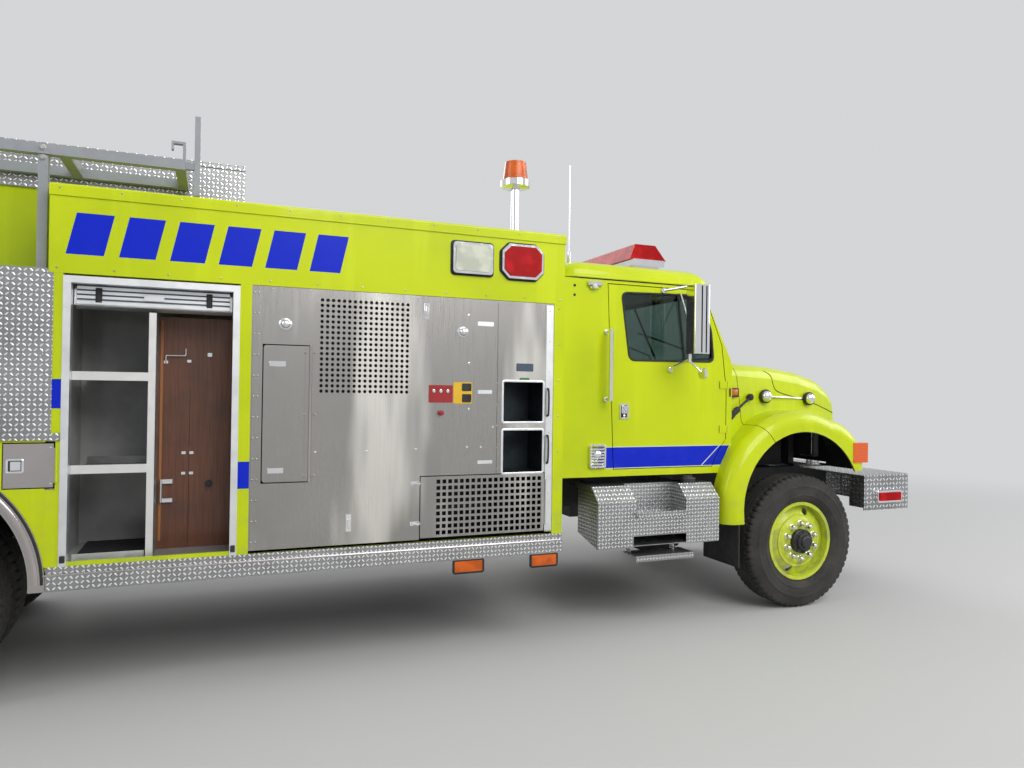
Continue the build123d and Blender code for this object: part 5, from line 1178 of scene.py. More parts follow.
def markerPieces(side, word):
    # Blank orange marker on the cowl and its dark rim, bent to the skin along a level line
    x, z = cabTrim["marker"]
    xs = np.linspace(x[0] - 0.02, x[1] + 0.02, 9)
    found = skinAt(("rear_fenders", "cab_shell", "hood"), [(place, sum(z) / 2) for place in xs], side)
    skin = np.abs(found[:, 1])
    rim = trimRound(boxLine(x, z, 0.006, 4), ((-0.007, -0.004), (-0.007, 0.006), (-0.004, 0.008),
                                              (0.001, 0.008), (0.003, 0.004)))
    lens = slab((x[0] + 0.004, x[1] - 0.004), (z[0] + 0.004, z[1] - 0.004), (-0.004, 0.011), 0.003)
    for name, shape, finish in (("marker_rim_", rim, "rubber"), ("marker_lens_", lens, "orangeLens")):
        points, faces = onSide(shape, side, 0.0)
        points[:, 1] += side * np.interp(points[:, 0] - frontAxle, xs, skin)
        piece(name + word, (points, faces), finish)


for side, word in sides:
    hoodPieces(side, word)
    markerPieces(side, word)
piece("grille_screen", onTop(slab(*hoodTrim["screen"], 0.001)), "rubber", "hood")
print("hood trim")


# Body sides: strips, screws, catches, plates, lamps and the open bay

bodySkins = ("side_panels", "upper_band", "body_frame", "rear_fender_panels", "tread_panels", "round_vent",
             "hatch", "vent_door", "fill_door", "rub_rails", "door_frames", "fender_rings", "bright_fittings")

bodyTrim = {
    "hingeStrip": {"x": (-4.104, -4.064), "z": (0.765, 2.235), "rivets": (-4.095, -4.072), "pitch": 0.118},
    "screw": 0.0052,
    "screwRows": (                    # axis, fixed place, first, last, count
        ("x", 2.278, -5.060, -2.180, 12), ("x", 2.235, -3.150, -2.330, 5), ("x", 2.235, -4.000, -3.790, 2),
        ("z", -2.255, 0.800, 2.200, 8), ("z", -2.188, 0.800, 2.220, 7), ("z", -2.622, 1.170, 1.720, 5),
        ("x", 2.690, -5.050, -2.200, 11), ("x", 2.246, -7.700, -6.700, 4), ("x", 1.405, -6.600, -5.120, 7),
        ("x", 2.250, -6.600, -5.140, 6), ("z", -6.630, 1.450, 2.200, 5), ("z", -5.118, 1.450, 2.200, 5),
    ),
    "paleStrip": ((-2.278, -2.228), (0.760, 2.240)),
    "cubbies": (((-2.576, -2.300), (1.474, 1.729)), ((-2.576, -2.300), (1.146, 1.416))),
    "cubbySeam": (-2.620, (1.140, 2.235)),
    "domes": ((-3.926, 2.039), (-2.857, 2.039)),
    "plates": (                       # along, up, finish
        ((-3.073, -2.918), (1.593, 1.702), "redPlate"), ((-2.914, -2.790), (1.588, 1.722), "yellowPlate"),
        ((-2.859, -2.796), (1.667, 1.715), "rubber"), ((-2.857, -2.796), (1.596, 1.648), "rubber"),
        ((-2.490, -2.370), (1.800, 1.851), "slatePlate"), ((-2.466, -2.397), (1.739, 1.758), "greenPlate"),
    ),
    "dots": ((-3.040, 1.665), (-2.995, 1.665), (-2.950, 1.665)),
    "labels": (((-2.758, -2.650), (2.082, 2.110)), ((-2.752, -2.656), (1.651, 1.675)),
               ((-2.748, -2.648), (1.206, 1.228))),
    "uprights": ((-3.092, 2.158), (-3.551, 0.877)),
    "loose": ((-3.750, 1.301), (-3.448, 1.301), (-3.148, 1.308), (-2.819, 2.147), (-2.814, 1.844),
              (-2.810, 1.554), (-2.819, 1.315), (-2.726, 1.313), (-2.647, 1.440)),
    "knob": (-2.995, 1.529),
    "loops": (-2.266, ((1.510, 1.690), (1.200, 1.382))),
    "catches": ((-3.150, 1.097), (-3.150, 0.850)),
    "hatchPlates": (((-4.010, -3.920), (1.793, 1.825)), ((-4.012, -3.925), (1.182, 1.213))),
    "hatchBar": {"x": -3.782, "z": (1.128, 1.919), "radius": 0.0088, "out": 1.2205},
    "hatchBolts": {"z": (1.165, 1.520, 1.880), "moving": -3.812, "fixed": -3.756},
    "clearLamp": ((-2.934, -2.670), (2.405, 2.601)),
    "redLamp": {"x": (-2.607, -2.318), "z": (2.396, 2.619), "cut": 0.052},
    "lowLamps": {"x": ((-2.897, -2.702), (-2.372, -2.185)), "z": (0.526, 0.606), "out": 1.227},
    "fillDoor": ((-5.276, -5.057), (1.145, 1.370)),
}


def planeAt(x, z, side, names=bodySkins):
    # How far out the outermost of the named nodes stands at a place on the side, or 0
    return max(outermost(names, x, z, side, 1.6) or 0.0, 0.0)


def screwHead(r):
    return turned(((r, -0.0012), (r, 0.0008), (r * 0.82, 0.0022), (r * 0.4, 0.0029), (0.0003, 0.0030)), 10)


def screwRows(side):
    # Screw heads along each row, where the body's skin is behind them
    head = screwHead(bodyTrim["screw"])
    heads = []
    for axis, fixed, first, last, count in bodyTrim["screwRows"]:
        for along in np.linspace(first, last, count):
            x, z = (along, fixed) if axis == "x" else (fixed, along)
            plane = planeAt(x, z, side)
            if plane > 1.15:
                heads.append(onSide(moved(head, x, z), side, plane))
    return joined(*heads)


def domeLamp():
    base = turned(((0.036, -0.001), (0.036, 0.004), (0.031, 0.009), (0.026, 0.011)), 28)
    dome = turned(((0.026, 0.008), (0.0255, 0.016), (0.021, 0.025), (0.013, 0.031), (0.005, 0.0333),
                   (0.0004, 0.0336)), 28)
    return joined(base, dome)


def catch():
    # A small over-centre catch: base plate, body and turned-down lever
    return joined(plate((-0.030, 0.030), (-0.013, 0.013), 0.003, 0.004, foot=0),
                  plate((-0.020, 0.012), (-0.009, 0.009), 0.013, 0.003, 0.003, 0.002),
                  plate((-0.012, 0.034), (-0.006, 0.006), 0.016, 0.004, 0.002, 0.011))


def frameTrim(x, z, width, out, corner=0.006):
    # Flat trim round an opening, standing on the face with rounded edges
    line = boxLine(x, z, corner, 4)
    return trimRound(line, ((0, -0.003), (0, out * 0.7), (-0.002, out), (-width + 0.002, out),
                            (-width, out * 0.7), (-width, -0.001)))


def stripPieces():
    # Riveted hinge strip, pale post strip, trims of the two cubbies and the seam beside them
    t = bodyTrim
    h = t["hingeStrip"]
    strip = plate(h["x"], h["z"], 0.0024, 0.002, 0.0008)
    rivet = turned(((0.0062, 0.002), (0.0055, 0.0042), (0.003, 0.0056), (0.0003, 0.0060)), 10)
    levels = np.arange(h["z"][0] + 0.03, h["z"][1], h["pitch"])
    rivets = scattered(rivet, [(x, z) for x in h["rivets"] for z in levels])
    plane = planeAt(sum(h["x"]) / 2, sum(h["z"]) / 2, right)
    sidePiece("hinge_strip", joined(strip, rivets), right, plane, "stainless")
    x, z = t["paleStrip"]
    strip = plate(x, z, 0.0018, 0.002, 0.0006)
    sidePiece("pale_post_strip", strip, right, planeAt(sum(x) / 2, 1.3, right), "aluminium")
    trims = [frameTrim(x, z, 0.014, 0.004) for x, z in t["cubbies"]]
    sidePiece("cubby_trims", joined(*trims), right, planeAt(-2.60, 1.44, right), "aluminium")
    x, z = t["cubbySeam"]
    seam = slab((x - 0.0012, x + 0.0012), z, (-0.001, 0.0007), 0.0004)
    sidePiece("panel_seam", seam, right, planeAt(x, 1.4, right), "seamBlack")


def platePieces(plane):
    # Dome lamps, blank plates and labels, catches and screws on the large stainless panel
    t = bodyTrim
    sidePiece("dome_lamps", scattered(domeLamp(), t["domes"]), right, plane, "chrome")
    for index, (x, z, finish) in enumerate(t["plates"]):
        lift = 0.002 if finish == "rubber" else 0.0
        sidePiece("plate_%d" % (index + 1), plate(x, z, 0.0024 + lift, 0.006, 0.0008), right, plane, finish)
    labels = [plate(x, z, 0.0018, cut=0.0006) for x, z in t["labels"]]
    sidePiece("blank_labels", joined(*labels), right, plane, "aluminium")
    dot = turned(((0.010, 0.001), (0.010, 0.0035), (0.007, 0.0042), (0.0004, 0.0043)), 14)
    sidePiece("plate_dots", scattered(dot, t["dots"]), right, plane, "chrome")
    upright = joined(plate((-0.016, 0.016), (-0.052, 0.052), 0.003, 0.006),
                     plate((-0.009, 0.009), (-0.030, 0.030), 0.016, 0.006, 0.003, 0.002, 4))
    sidePiece("upright_catches", scattered(upright, t["uprights"]), right, plane, "chrome")
    sidePiece("loose_screws", scattered(screwHead(0.0075), t["loose"]), right, plane, "chrome")


def hatchBar():
    bar = bodyTrim["hatchBar"]
    shape = tube([(bar["x"], z, 0.0) for z in bar["z"]], bar["radius"], 12)
    sidePiece("hatch_hinge_bar", shape, right, bar["out"], "polished", "hatch")


def handlePieces(plane):
    # Round knob on the panel and two loop handles on the post beside the cubbies
    t = bodyTrim
    knob = turned(((0.017, -0.001), (0.017, 0.003), (0.010, 0.005), (0.010, 0.016), (0.0145, 0.018),
                   (0.015, 0.028), (0.011, 0.032), (0.0004, 0.033)), 24)
    sidePiece("test_knob", moved(knob, *t["knob"]), right, plane, "redPlate")
    x, levels = t["loops"]
    loops = []
    for low, high in levels:
        path = [(x, low, 0.001), (x, low + 0.012, 0.020), (x, (low + high) / 2, 0.026),
                (x, high - 0.012, 0.020), (x, high, 0.001)]
        loops.append(tube(smoothPath(path, 18), 0.0065, 8))
    sidePiece("loop_handles", joined(*loops), right, planeAt(x, 1.44, right), "rubber")


def doorFittings(plane):
    # Catches of the vent door, and plates and bolts of the hatch and of the post beside it
    t = bodyTrim
    catches = scattered(catch(), t["catches"])
    sidePiece("vent_door_catches", catches, right, planeAt(-3.16, 0.95, right), "chrome")
    plates = [plate(x, z, 0.003, 0.004) for x, z in t["hatchPlates"]]
    sidePiece("hatch_catches", joined(*plates), right, planeAt(-3.95, 1.5, right), "chrome", "hatch")
    bolts = t["hatchBolts"]
    bolt = turned(((0.0085, -0.001), (0.0085, 0.005), (0.0065, 0.0065), (0.0004, 0.007)), 6)
    moving, fixed = (scattered(bolt, [(bolts[k], z) for z in bolts["z"]]) for k in ("moving", "fixed"))
    hatchPlane = planeAt(-3.815, 1.52, right, ("hatch",))
    sidePiece("hatch_bolts", moving, right, hatchPlane, "stainless", "hatch")
    sidePiece("hatch_post_bolts", fixed, right, plane, "stainless")


def fillDoorPieces():
    # Finger cup, latch and screw column of the fill door
    x, z = bodyTrim["fillDoor"]
    plane = planeAt(-5.16, 1.25, right, ("fill_door",))
    rim = trimRound(boxLine((x[0] + 0.016, x[0] + 0.086), (z[0] + 0.080, z[0] + 0.145), 0.006, 4),
                    ((-0.004, -0.001), (-0.004, 0.004), (0.0, 0.006), (0.006, 0.004), (0.008, -0.001)))
    paddle = slab((x[0] + 0.030, x[0] + 0.076), (z[0] + 0.090, z[0] + 0.135), (-0.001, 0.0035), 0.002)
    cup = slab((x[0] + 0.022, x[0] + 0.080), (z[0] + 0.086, z[0] + 0.139), (-0.0015, 0.0012), 0.0005)
    sidePiece("fill_door_cup", cup, right, plane, "rubber", "fill_door")
    levels = np.linspace(z[0] + 0.02, z[1] - 0.02, 5)
    bolts = scattered(screwHead(0.0058), [(x[1] - 0.013, level) for level in levels])
    sidePiece("fill_door_latch", joined(joined(rim, paddle), bolts), right, plane, "chrome", "fill_door")


def lampPieces(side, word):
    # Rubber gaskets round the two upper lamps and rims round the two low ones
    t = bodyTrim
    x, z = t["clearLamp"]
    line = boxLine((x[0] - 0.006, x[1] + 0.006), (z[0] - 0.006, z[1] + 0.006), 0.020, 5)
    gasket = trimRound(line, ((-0.006, -0.002), (-0.006, 0.004), (0.0, 0.006), (0.008, 0.006),
                              (0.008, -0.002)))
    lamp = t["redLamp"]
    (a, b), (low, high), c = lamp["x"], lamp["z"], lamp["cut"]
    corners = [(b - c, high), (a + c, high), (a, high - c), (a, low + c),
               (a + c, low), (b - c, low), (b, low + c), (b, high - c)]
    gasketRed = trimRound(polyLine(corners, 0.006, 3), ((-0.012, -0.002), (-0.012, 0.005), (-0.004, 0.008),
                                                        (0.004, 0.008), (0.004, -0.002)))
    plane = planeAt(-2.64, 2.35, side)
    sidePiece("lamp_gaskets_" + word, joined(gasket, gasketRed), side, plane, "rubber")
    low = t["lowLamps"]
    profile = ((-0.006, -0.014), (-0.006, 0.0015), (-0.003, 0.003), (0.004, 0.003), (0.006, 0.000),
               (0.006, -0.006))
    rims = [trimRound(boxLine(x, low["z"], 0.008, 3), profile) for x in low["x"]]
    sidePiece("low_lamp_rims_" + word, joined(*rims), side, low["out"], "rubber")


railTrim = {
    "runs": ((-5.095, -2.158), (-7.680, -6.525)),        # before and behind the rear wheel arch
    "level": 0.691, "radius": 0.007, "sunk": 0.0068,
    "arch": (-5.810, 0.640), "ring": (0.676, 0.021), "welt": (0.711, 0.0085),
}


def railPieces(side, word):
    # Bright rounded edge along the rub rail, and the bright ring and black welt along the rear wheel arch
    t = railTrim
    edges = []
    for a, b in t["runs"]:
        plane = planeAt((a + b) / 2, 0.66, side, ("rub_rails",))
        edge = tube([(a, t["level"], 0), (b, t["level"], 0)], t["radius"], 10)
        edges.append(onSide(edge, side, plane - t["sunk"]))
    piece("rail_edges_" + word, joined(*edges), "polished")
    cx, cz = t["arch"]
    plane = planeAt(cx, cz + t["ring"][0], side, ("fender_rings",)) - 0.004
    turns = np.radians(np.linspace(0.5, 179.5, 90))
    for name, part, flat, finish in (("arch_ring_", "ring", 0.55, "polished"),
                                     ("arch_welt_", "welt", 1.0, "rubber")):
        radius, size = t[part]
        path = np.column_stack([cx + radius * np.cos(turns), cz + radius * np.sin(turns), 0 * turns])
        sidePiece(name + word, tube(path, size, 12, flat=flat), side, plane, finish)


bayTrim = {
    "floor": 0.735, "length": (-4.985, -4.640), "board": (-4.590, -4.575),
    "mat": {"out": (0.620, 1.125), "points": 64, "high": 0.006, "ridge": 0.0032},
    "seam": (-4.432, -4.4295), "seamRuns": ((0.76, 1.28), (1.32, 1.66)),
    "clip": (-4.327, 1.860), "knob": (-4.322, 1.101), "catchBlocks": ((-5.012, 0.770), (-4.190, 0.770)),
    "hook": ((-4.561, 1.805, 0.012), (-4.561, 1.845, 0.014), (-4.550, 1.850, 0.014), (-4.470, 1.851, 0.014),
             (-4.457, 1.856, 0.014), (-4.457, 1.893, 0.006)),
    "plates": ((-4.460, 1.285), (-4.418, 1.285), (-4.460, 1.166), (-4.418, 1.166), (-4.438, 1.820),
               (-4.561, 1.812)),
}


def boardPieces():
    # Hook, clip, plates, bracket, knob, seam and edge strip on the wooden tool board
    t = bayTrim
    plane = planeAt(-4.40, 1.4, right, ("tool_board",))
    rod = tube(smoothPath(t["hook"], 30), 0.004, 8)
    jaw = slab((-0.003, 0.003), (-0.012, 0.012), (0.004, 0.020), 0.001)
    clip = joined(plate((-0.014, 0.014), (-0.012, 0.012), 0.005), scattered(jaw, ((-0.010, 0), (0.010, 0))))
    plates = scattered(plate((-0.012, 0.012), (-0.009, 0.009), 0.004), t["plates"])
    sidePiece("board_hooks", joined(rod, moved(clip, *t["clip"]), plates), right, plane, "chrome")
    bracket = joined(slab((-4.580, -4.570), (1.000, 1.135), (0.003, 0.030), 0.002),
                     slab((-4.570, -4.514), (1.108, 1.135), (0.003, 0.016), 0.002),
                     slab((-4.570, -4.514), (1.000, 1.024), (0.003, 0.016), 0.002))
    sidePiece("board_bracket", bracket, right, plane, "aluminium")
    knob = turned(((0.020, -0.001), (0.020, 0.003), (0.012, 0.005), (0.012, 0.014), (0.018, 0.016),
                   (0.018, 0.026), (0.0004, 0.028)), 20)
    sidePiece("board_knob", moved(knob, *t["knob"]), right, plane, "rubber")
    seams = [slab(t["seam"], run, (-0.001, 0.0006), 0.0004) for run in t["seamRuns"]]
    sidePiece("board_seam", joined(*seams), right, plane, "seamBlack")
    strip = slab(t["board"], (0.78, 2.05), (-0.001, 0.003), 0.001)
    sidePiece("board_edge", strip, right, plane, "boardEdge")


def bayFloorPieces():
    # Ribbed mat (each four points across it stand two high and two low), floor lip and door catch blocks
    t = bayTrim
    mat = t["mat"]
    count = mat["points"]
    across = np.linspace(*mat["out"], count)
    up = t["floor"] + mat["high"] + mat["ridge"] * (np.arange(count) % 4 < 2)
    rows = [np.column_stack([np.full(count, x + frontAxle), -across, up]) for x in t["length"]]
    points = np.concatenate(rows)
    under = points * np.array([1, 1, 0]) + np.array([0, 0, t["floor"]])
    top = gridFaces(2, count)
    faces = top + [[i + 2 * count for i in face[::-1]] for face in top]
    rim = list(range(count)) + list(range(2 * count - 1, count - 1, -1))
    faces += [[a, b, b + 2 * count, a + 2 * count] for a, b in zip(rim, rim[1:] + rim[:1])]
    piece("bay_mat", (np.concatenate([points, under]), faces), "rubber")
    lip = moved(slab(t["length"], (0.005, 0.040), (0, 0.004), 0.001), 0, t["floor"])
    sidePiece("bay_floor_lip", lip, right, 1.128, "aluminium")
    block = plate((-0.012, 0.012), (-0.018, 0.018), 0.010, cut=0.002, foot=-0.002)
    blocks = [onSide(moved(block, x, z), right, planeAt(x, z, right)) for x, z in t["catchBlocks"]]
    piece("catch_blocks", joined(*blocks), "rubber")


shutterTrim = {
    "bar": ((-5.025, -4.178), 2.105), "straps": ((-4.891, -4.860), (-4.347, -4.316)),
    "slat": 0.0245, "firstSlat": 2.128, "gap": 0.003, "label": ((-4.66, -4.56), (2.135, 2.165)),
}


def openShutterPieces():
    # Last slats, seams, bottom bar, pull straps and blank label of the open right shutter
    t = shutterTrim
    (a, b), z = t["bar"]
    upper, lower = (planeAt(-4.60, level, right, ("shutters",)) for level in (2.16, 2.11))
    levels = [t["firstSlat"] + k * t["slat"] for k in range(4)]
    slats = [slab((a + 0.045, b - 0.045), (low + t["gap"], low + t["slat"] - t["gap"]), (-0.003, 0.0035))
             for low in levels[:3]]
    sidePiece("shutter_slats_open", joined(*slats), right, upper, "aluminium")
    seams = [slab((a + 0.046, b - 0.046), (low - 0.0035, low + 0.0035), (-0.003, 0.0030), 0.001)
             for low in levels]
    sidePiece("shutter_seams_open", joined(*seams), right, upper, "slatePlate")
    bar = joined(slab((a + 0.042, b - 0.042), (z - 0.006, z + 0.018), (-0.004, 0.008), 0.003),
                 slab((a + 0.042, b - 0.042), (z - 0.012, z - 0.006), (-0.004, 0.014), 0.002))
    sidePiece("shutter_bar_open", bar, right, lower, "aluminium")
    straps = [slab(x, (2.112, 2.190), (0.004, 0.010), 0.002) for x in t["straps"]]
    sidePiece("shutter_straps", joined(*straps), right, lower, "rubber")
    label = plate(*t["label"], 0.007, foot=0.003)
    sidePiece("shutter_label", label, right, lower, "aluminium")


def closedShutterPieces(name, side, x, z):
    # Lift bar and its two end blocks on a closed shutter
    plane = planeAt(sum(x) / 2, z + 0.02, side, ("shutters",))
    start, end = x[0] + 0.05, x[1] - 0.05
    bar = tube([(start, z, 0.026), (end, z, 0.026)], 0.011, 12)
    ends = [slab((v - 0.016, v + 0.016), (z - 0.018, z + 0.018), (-0.002, 0.036), 0.003)
            for v in (start, end)]
    sidePiece(name, joined(bar, *ends), side, plane, "aluminium")


panelPlane = planeAt(-3.15, 1.40, right)
stripPieces()
platePieces(panelPlane)
hatchBar()
handlePieces(panelPlane)
doorFittings(panelPlane)
fillDoorPieces()
piece("body_screws_right", screwRows(right), "stainless")
boardPieces()
bayFloorPieces()
openShutterPieces()
for side, word in sides:
    lampPieces(side, word)
    railPieces(side, word)
    closedShutterPieces("rear_shutter_bar_" + word, side, (-7.60, -6.69), 0.80)
closedShutterPieces("front_shutter_bar_left", left, (-4.99, -4.21), 0.80)
piece("body_screws_left", screwRows(left), "stainless")
print("body sides")


# Roof and arches: beacon flange, rack bolts, filler caps and arch lips

roofTrim = {
    "beacon": (-2.447, -1.050), "beaconFlange": (3.035, 3.064),
    "rackBolts": ((-5.145, -7.300), (2.86, 2.91)),
    "fillerCap": (-1.004, 1.010),
    "arch": (-0.030, 0.800), "archRadius": 0.589, "lip": 0.009,
}


def beaconPieces():
    x, y = roofTrim["beacon"]
    low, high = roofTrim["beaconFlange"]
    ring = turned(((0.082, low), (0.092, low + 0.004), (0.092, high - 0.006), (0.084, high),
                   (0.05, high + 0.001)), 40)
    piece("beacon_flange", moved(ring, x + frontAxle, y), "chrome")


def rackPieces():
    # Bolts on the rack's posts, where a post is behind them
    bolt = turned(((0.016, -0.002), (0.016, 0.003), (0.0125, 0.0035), (0.0125, 0.013), (0.0004, 0.0135)), 6)
    places, levels = roofTrim["rackBolts"]
    spots = [(x, z, planeAt(x, z, right, ("ladder_rack",))) for x in places for z in levels]
    heads = [onSide(moved(bolt, x, z), right, plane) for x, z, plane in spots if plane > 0.5]
    if heads:
        piece("rack_bolts", joined(*heads), "stainless")


def fillerCaps():
    # Black caps with a grip bar over the filler necks on the step boxes' sloped shoulders
    cap = turned(((0.0575, 1.008), (0.0575, 1.037), (0.051, 1.043), (0.036, 1.044), (0.034, 1.051),
                  (0.0004, 1.052)), 30)
    both = joined(cap, slab((-0.040, 0.040), (-0.007, 0.007), (1.045, 1.058), 0.003))
    x, y = roofTrim["fillerCap"]
    for side, word in sides:
        piece("filler_cap_" + word, onTop(moved(both, x, side * y)), "hubBlack")


def archPieces(side, word):
    # Rolled lip along the edge of the front wheel arch, part on the hood and part on the rear fender
    cx, cz = roofTrim["arch"]
    r, lip = roofTrim["archRadius"], roofTrim["lip"]
    for body, node, first, last in (("hood", "hood", 12, 118), ("chassis", "rear_fenders", 124, 196)):
        found = []
        for a in np.radians(np.linspace(first, last, 60)):
            out = planeAt(cx + (r + 0.010) * math.cos(a), cz + (r + 0.010) * math.sin(a), side, (node,))
            if out > 0.9:
                found.append((cx + r * math.cos(a) + frontAxle, side * (out - lip * 0.9),
                              cz + r * math.sin(a)))
        if len(found) > 8:
            piece("arch_lip_%s_%s" % (body, word), tube(found, lip, 8), "plainPaint", body)


beaconPieces()
rackPieces()
fillerCaps()
for side, word in sides:
    archPieces(side, word)
print("roof and arches")


# Cab roof, seats, mirrors, tail

roofForm = {
    "back": -2.060, "front": -0.748, "half": 1.005, "foot": 2.4785, "top": 2.640,
    "corner": 0.14, "rise": 0.125, "crown": 0.030, "nose": 0.19, "drop": 0.045,
    "gutter": ((0.004, -0.004), (0.0, 0.0), (-0.004, 0.006), (-0.004, 0.018), (0.000, 0.024), (0.010, 0.027)),
    "wall": (0.014, 0.034),          # inset and height where the roof's curve starts
}


def roofShape(t):
    # Rings of a rounded plan outline, drawn in by a quarter ellipse:
    # inset = rise * (1 - cos a), height = high * sin a.
    # The front falls away: height is less by drop * ((x - start) / nose)^2 ahead of start
    inset, foot = t["wall"]
    high = t["top"] - t["foot"] - t["crown"]
    angles = np.radians(np.linspace(0, 90, 9))[1:]
    profile = [*t["gutter"], t["wall"]]
    profile += [(inset + t["rise"] * (1 - math.cos(a)), foot + (high - foot) * math.sin(a)) for a in angles]
    profile += [(0.30, high + t["crown"] * 0.55), (0.55, high + t["crown"] * 0.9), (0.9, high + t["crown"])]
    front, back, half = t["front"], t["back"], t["half"]
    start = front - t["nose"] - 0.05
    rings = []
    for inset, up in profile:
        ends = min(inset, 0.60)
        line = boxLine((back + ends, front - ends), (-half + inset, half - inset),
                       max(t["corner"] - inset * 0.3, 0.02), 9)
        fall = np.clip((line[:, 0] - start) / t["nose"], 0, 1.2) ** 2 * t["drop"] * np.clip(up / 0.10, 0, 1)
        rings.append(np.column_stack([line[:, 0] + frontAxle, line[:, 1], t["foot"] + up - fall]))
    count = len(rings[0])
    return np.concatenate(rings), capped(gridFaces(len(rings), count, closeColumns=True), len(rings), count)


seatForm = {
    "sides": (-0.330, 0.330), "half": 0.232,
    "cushion": ((-1.672, -1.168), (1.428, 1.552)), "back": ((-1.842, -1.718), (1.428, 2.122)),
    "smaller": 0.020, "power": 5.5, "voxel": 0.0096, "quickVoxel": 0.012,
    "pressure": 4.0, "frames": 20, "cap": 0.024,
    "channels": (-0.11, 0.11), "channelHalf": 0.007, "channelDepth": 0.009,
}


def superBox(x, y, z, power=4.0, rows=20, columns=36):
    # A crowned block: each coordinate is sign * |cos or sin|^(2 / power) of two angles,
    # scaled to the half sizes
    a = np.radians(np.linspace(-90, 90, rows))[:, None]
    b = np.radians(np.arange(columns) * 360 / columns)[None]

    def bulge(v):
        return np.sign(v) * np.abs(v) ** (2 / power)
    px = bulge(np.cos(a)) * bulge(np.cos(b))
    py = bulge(np.cos(a)) * bulge(np.sin(b))
    pz = bulge(np.sin(a)) * np.ones_like(b)
    middle = np.array([sum(x), sum(y), sum(z)]) / 2
    half = np.array([x[1] - x[0], y[1] - y[0], z[1] - z[0]]) / 2
    points = np.stack([px, py, pz], -1).reshape(-1, 3) * half + middle
    return points, gridFaces(rows, columns, closeColumns=True)


def pointsOf(mesh):
    found = np.empty(len(mesh.vertices) * 3)
    mesh.vertices.foreach_get("co", found)
    return found.reshape(-1, 3)


def puffed(made, t):
    # A voxel remesh of the block, swollen by cloth pressure with each point held within the cap
    bpy.context.view_layer.objects.active = made
    remesh = made.modifiers.new("remesh", "REMESH")
    remesh.mode = "VOXEL"
    remesh.voxel_size = t["voxel"]
    graph = bpy.context.evaluated_depsgraph_get()
    fresh = bpy.data.meshes.new_from_object(made.evaluated_get(graph))
    made.modifiers.clear()
    vinyl = made.data.materials[0]
    made.data = fresh
    fresh.materials.clear()
    fresh.materials.append(vinyl)
    rest = pointsOf(fresh)
    cloth = made.modifiers.new("cloth", "CLOTH")
    cloth.settings.use_pressure = True
    cloth.settings.uniform_pressure_force = t["pressure"]
    cloth.settings.effector_weights.gravity = 0.0
    cloth.settings.quality = 4
    cloth.point_cache.frame_start, cloth.point_cache.frame_end = 1, t["frames"]
    for frameNumber in range(1, t["frames"] + 1):
        bpy.context.scene.frame_set(frameNumber)
    swollen = made.evaluated_get(bpy.context.evaluated_depsgraph_get())
    step = pointsOf(swollen.to_mesh()) - rest
    length = np.linalg.norm(step, axis=1)[:, None]
    swollen.to_mesh_clear()
    made.modifiers.clear()
    bpy.context.scene.frame_set(1)
    return rest + step * np.minimum(1, t["cap"] / np.maximum(length, 1e-9))


def seatPad(t, kind, side, word):
    # A pad starts smaller than the solid it stands for; its sewn channels are pressed in after the cloth
    shrink = t["smaller"]
    face = 2 if kind == "cushion" else 0             # the axis that the sitter's side looks along
    x, z = t[kind]
    y = (side - t["half"], side + t["half"])
    shape = superBox((x[0] + frontAxle + shrink, x[1] + frontAxle - shrink), (y[0] + shrink, y[1] - shrink),
                     (z[0] + shrink, z[1] - shrink), t["power"])
    made = piece("seat_%s_%s" % (kind, word), shape, "vinyl")
    points = puffed(made, t)
    low = np.array([x[0] + frontAxle, y[0], z[0]])
    high = np.array([x[1] + frontAxle, y[1], z[1]])
    seams = sum(np.exp(-((points[:, 1] - side - c) / t["channelHalf"]) ** 2) for c in t["channels"])
    outer = points[:, face] - (low[face] + high[face]) / 2 > 0.02
    points[:, face] -= t["channelDepth"] * np.clip(seams, 0, 1) * outer
    points = np.clip(points, low - 0.002, high + 0.002)
    made.data.vertices.foreach_set("co", points.reshape(-1))
    made.data.update()
    made.data.shade_smooth()
    smooth = made.modifiers.new("smooth", "SUBSURF")
    smooth.levels = smooth.render_levels = 1
    return made


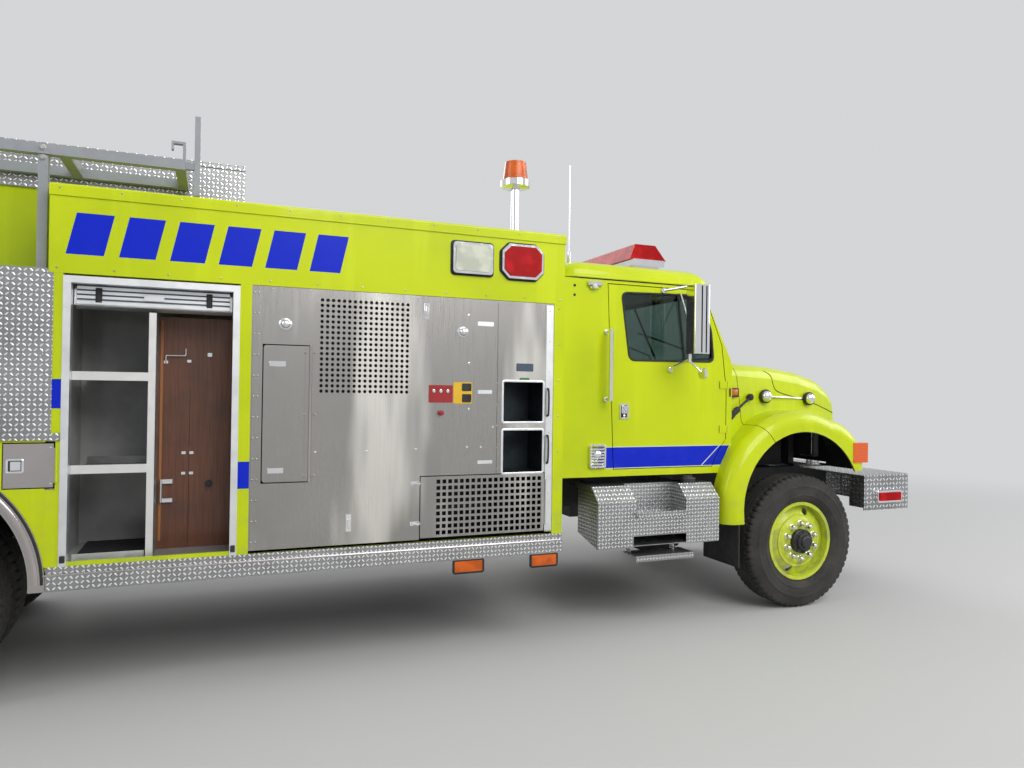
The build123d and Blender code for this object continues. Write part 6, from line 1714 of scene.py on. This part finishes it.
def seatPieces():
    for side in seatForm["sides"]:
        word = "left" if side > 0 else "right"
        cushion = seatPad(seatForm, "cushion", side, word)
        if side > 0:
            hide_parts("seats")
        seatPad(seatForm, "back", side, word)
        base = joined(slab((-1.63, -1.20), (side - 0.20, side + 0.20), (1.075, 1.435), 0.02),
                      slab((-1.80, -1.64), (side - 0.19, side + 0.19), (1.39, 1.46), 0.01))
        piece("seat_base_" + word, onTop(base), "dash")


mirrorForm = {
    "out": 1.330, "z": (1.952, 2.442),
    "ribs": ((-1.165, 0.010), (-1.108, 0.009), (-1.070, 0.012)), "joints": (-1.128, -1.090),
}


def mirrorPieces(side, word):
    # Ribs and dark joints down the mirror's outer side
    t = mirrorForm
    low, high = t["z"]
    door = "cab_door_" + word
    ribs = [tube([(x, low + 0.012, 0), (x, high - 0.012, 0)], r, 12) for x, r in t["ribs"]]
    gaps = [slab((x - 0.006, x + 0.006), (low + 0.008, high - 0.008), (-0.004, 0.0008), 0.0005)
            for x in t["joints"]]
    sidePiece("mirror_ribs_" + word, joined(*ribs), side, t["out"] - 0.0135, "chrome", door)
    sidePiece("mirror_joints_" + word, joined(*gaps), side, t["out"] - 0.0008, "rubber", door)


tailForm = {"back": -7.760, "out": 1.13, "foot": 1.25, "top": 2.05, "radius": 0.016}


def tailPieces():
    # Upright grab rails with round feet at the tail's corners
    t = tailForm
    back, low, high = t["back"], t["foot"], t["top"]
    foot = turned(((0.030, -0.001), (0.030, 0.004), (0.022, 0.008), (0.016, 0.010)), 20)
    for side, word in sides:
        y = side * t["out"]
        path = smoothPath([(back, y, low), (back - 0.045, y, low + 0.02), (back - 0.060, y, low + 0.09),
                           (back - 0.060, y, high - 0.09), (back - 0.045, y, high - 0.02),
                           (back, y, high)], 26)
        feet = [onEnd(moved(foot, y, z), back, -1) for z in (low, high)]
        piece("tail_rail_" + word, joined(onTop(tube(path, t["radius"], 12)), *feet), "chrome")


made = piece("cab_roof_panel", roofShape(roofForm), "roofPaint", sharp=40)
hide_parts("cab_roof")
seatPieces()
for side, word in sides:
    mirrorPieces(side, word)
tailPieces()
print("roof, seats, mirrors and tail")
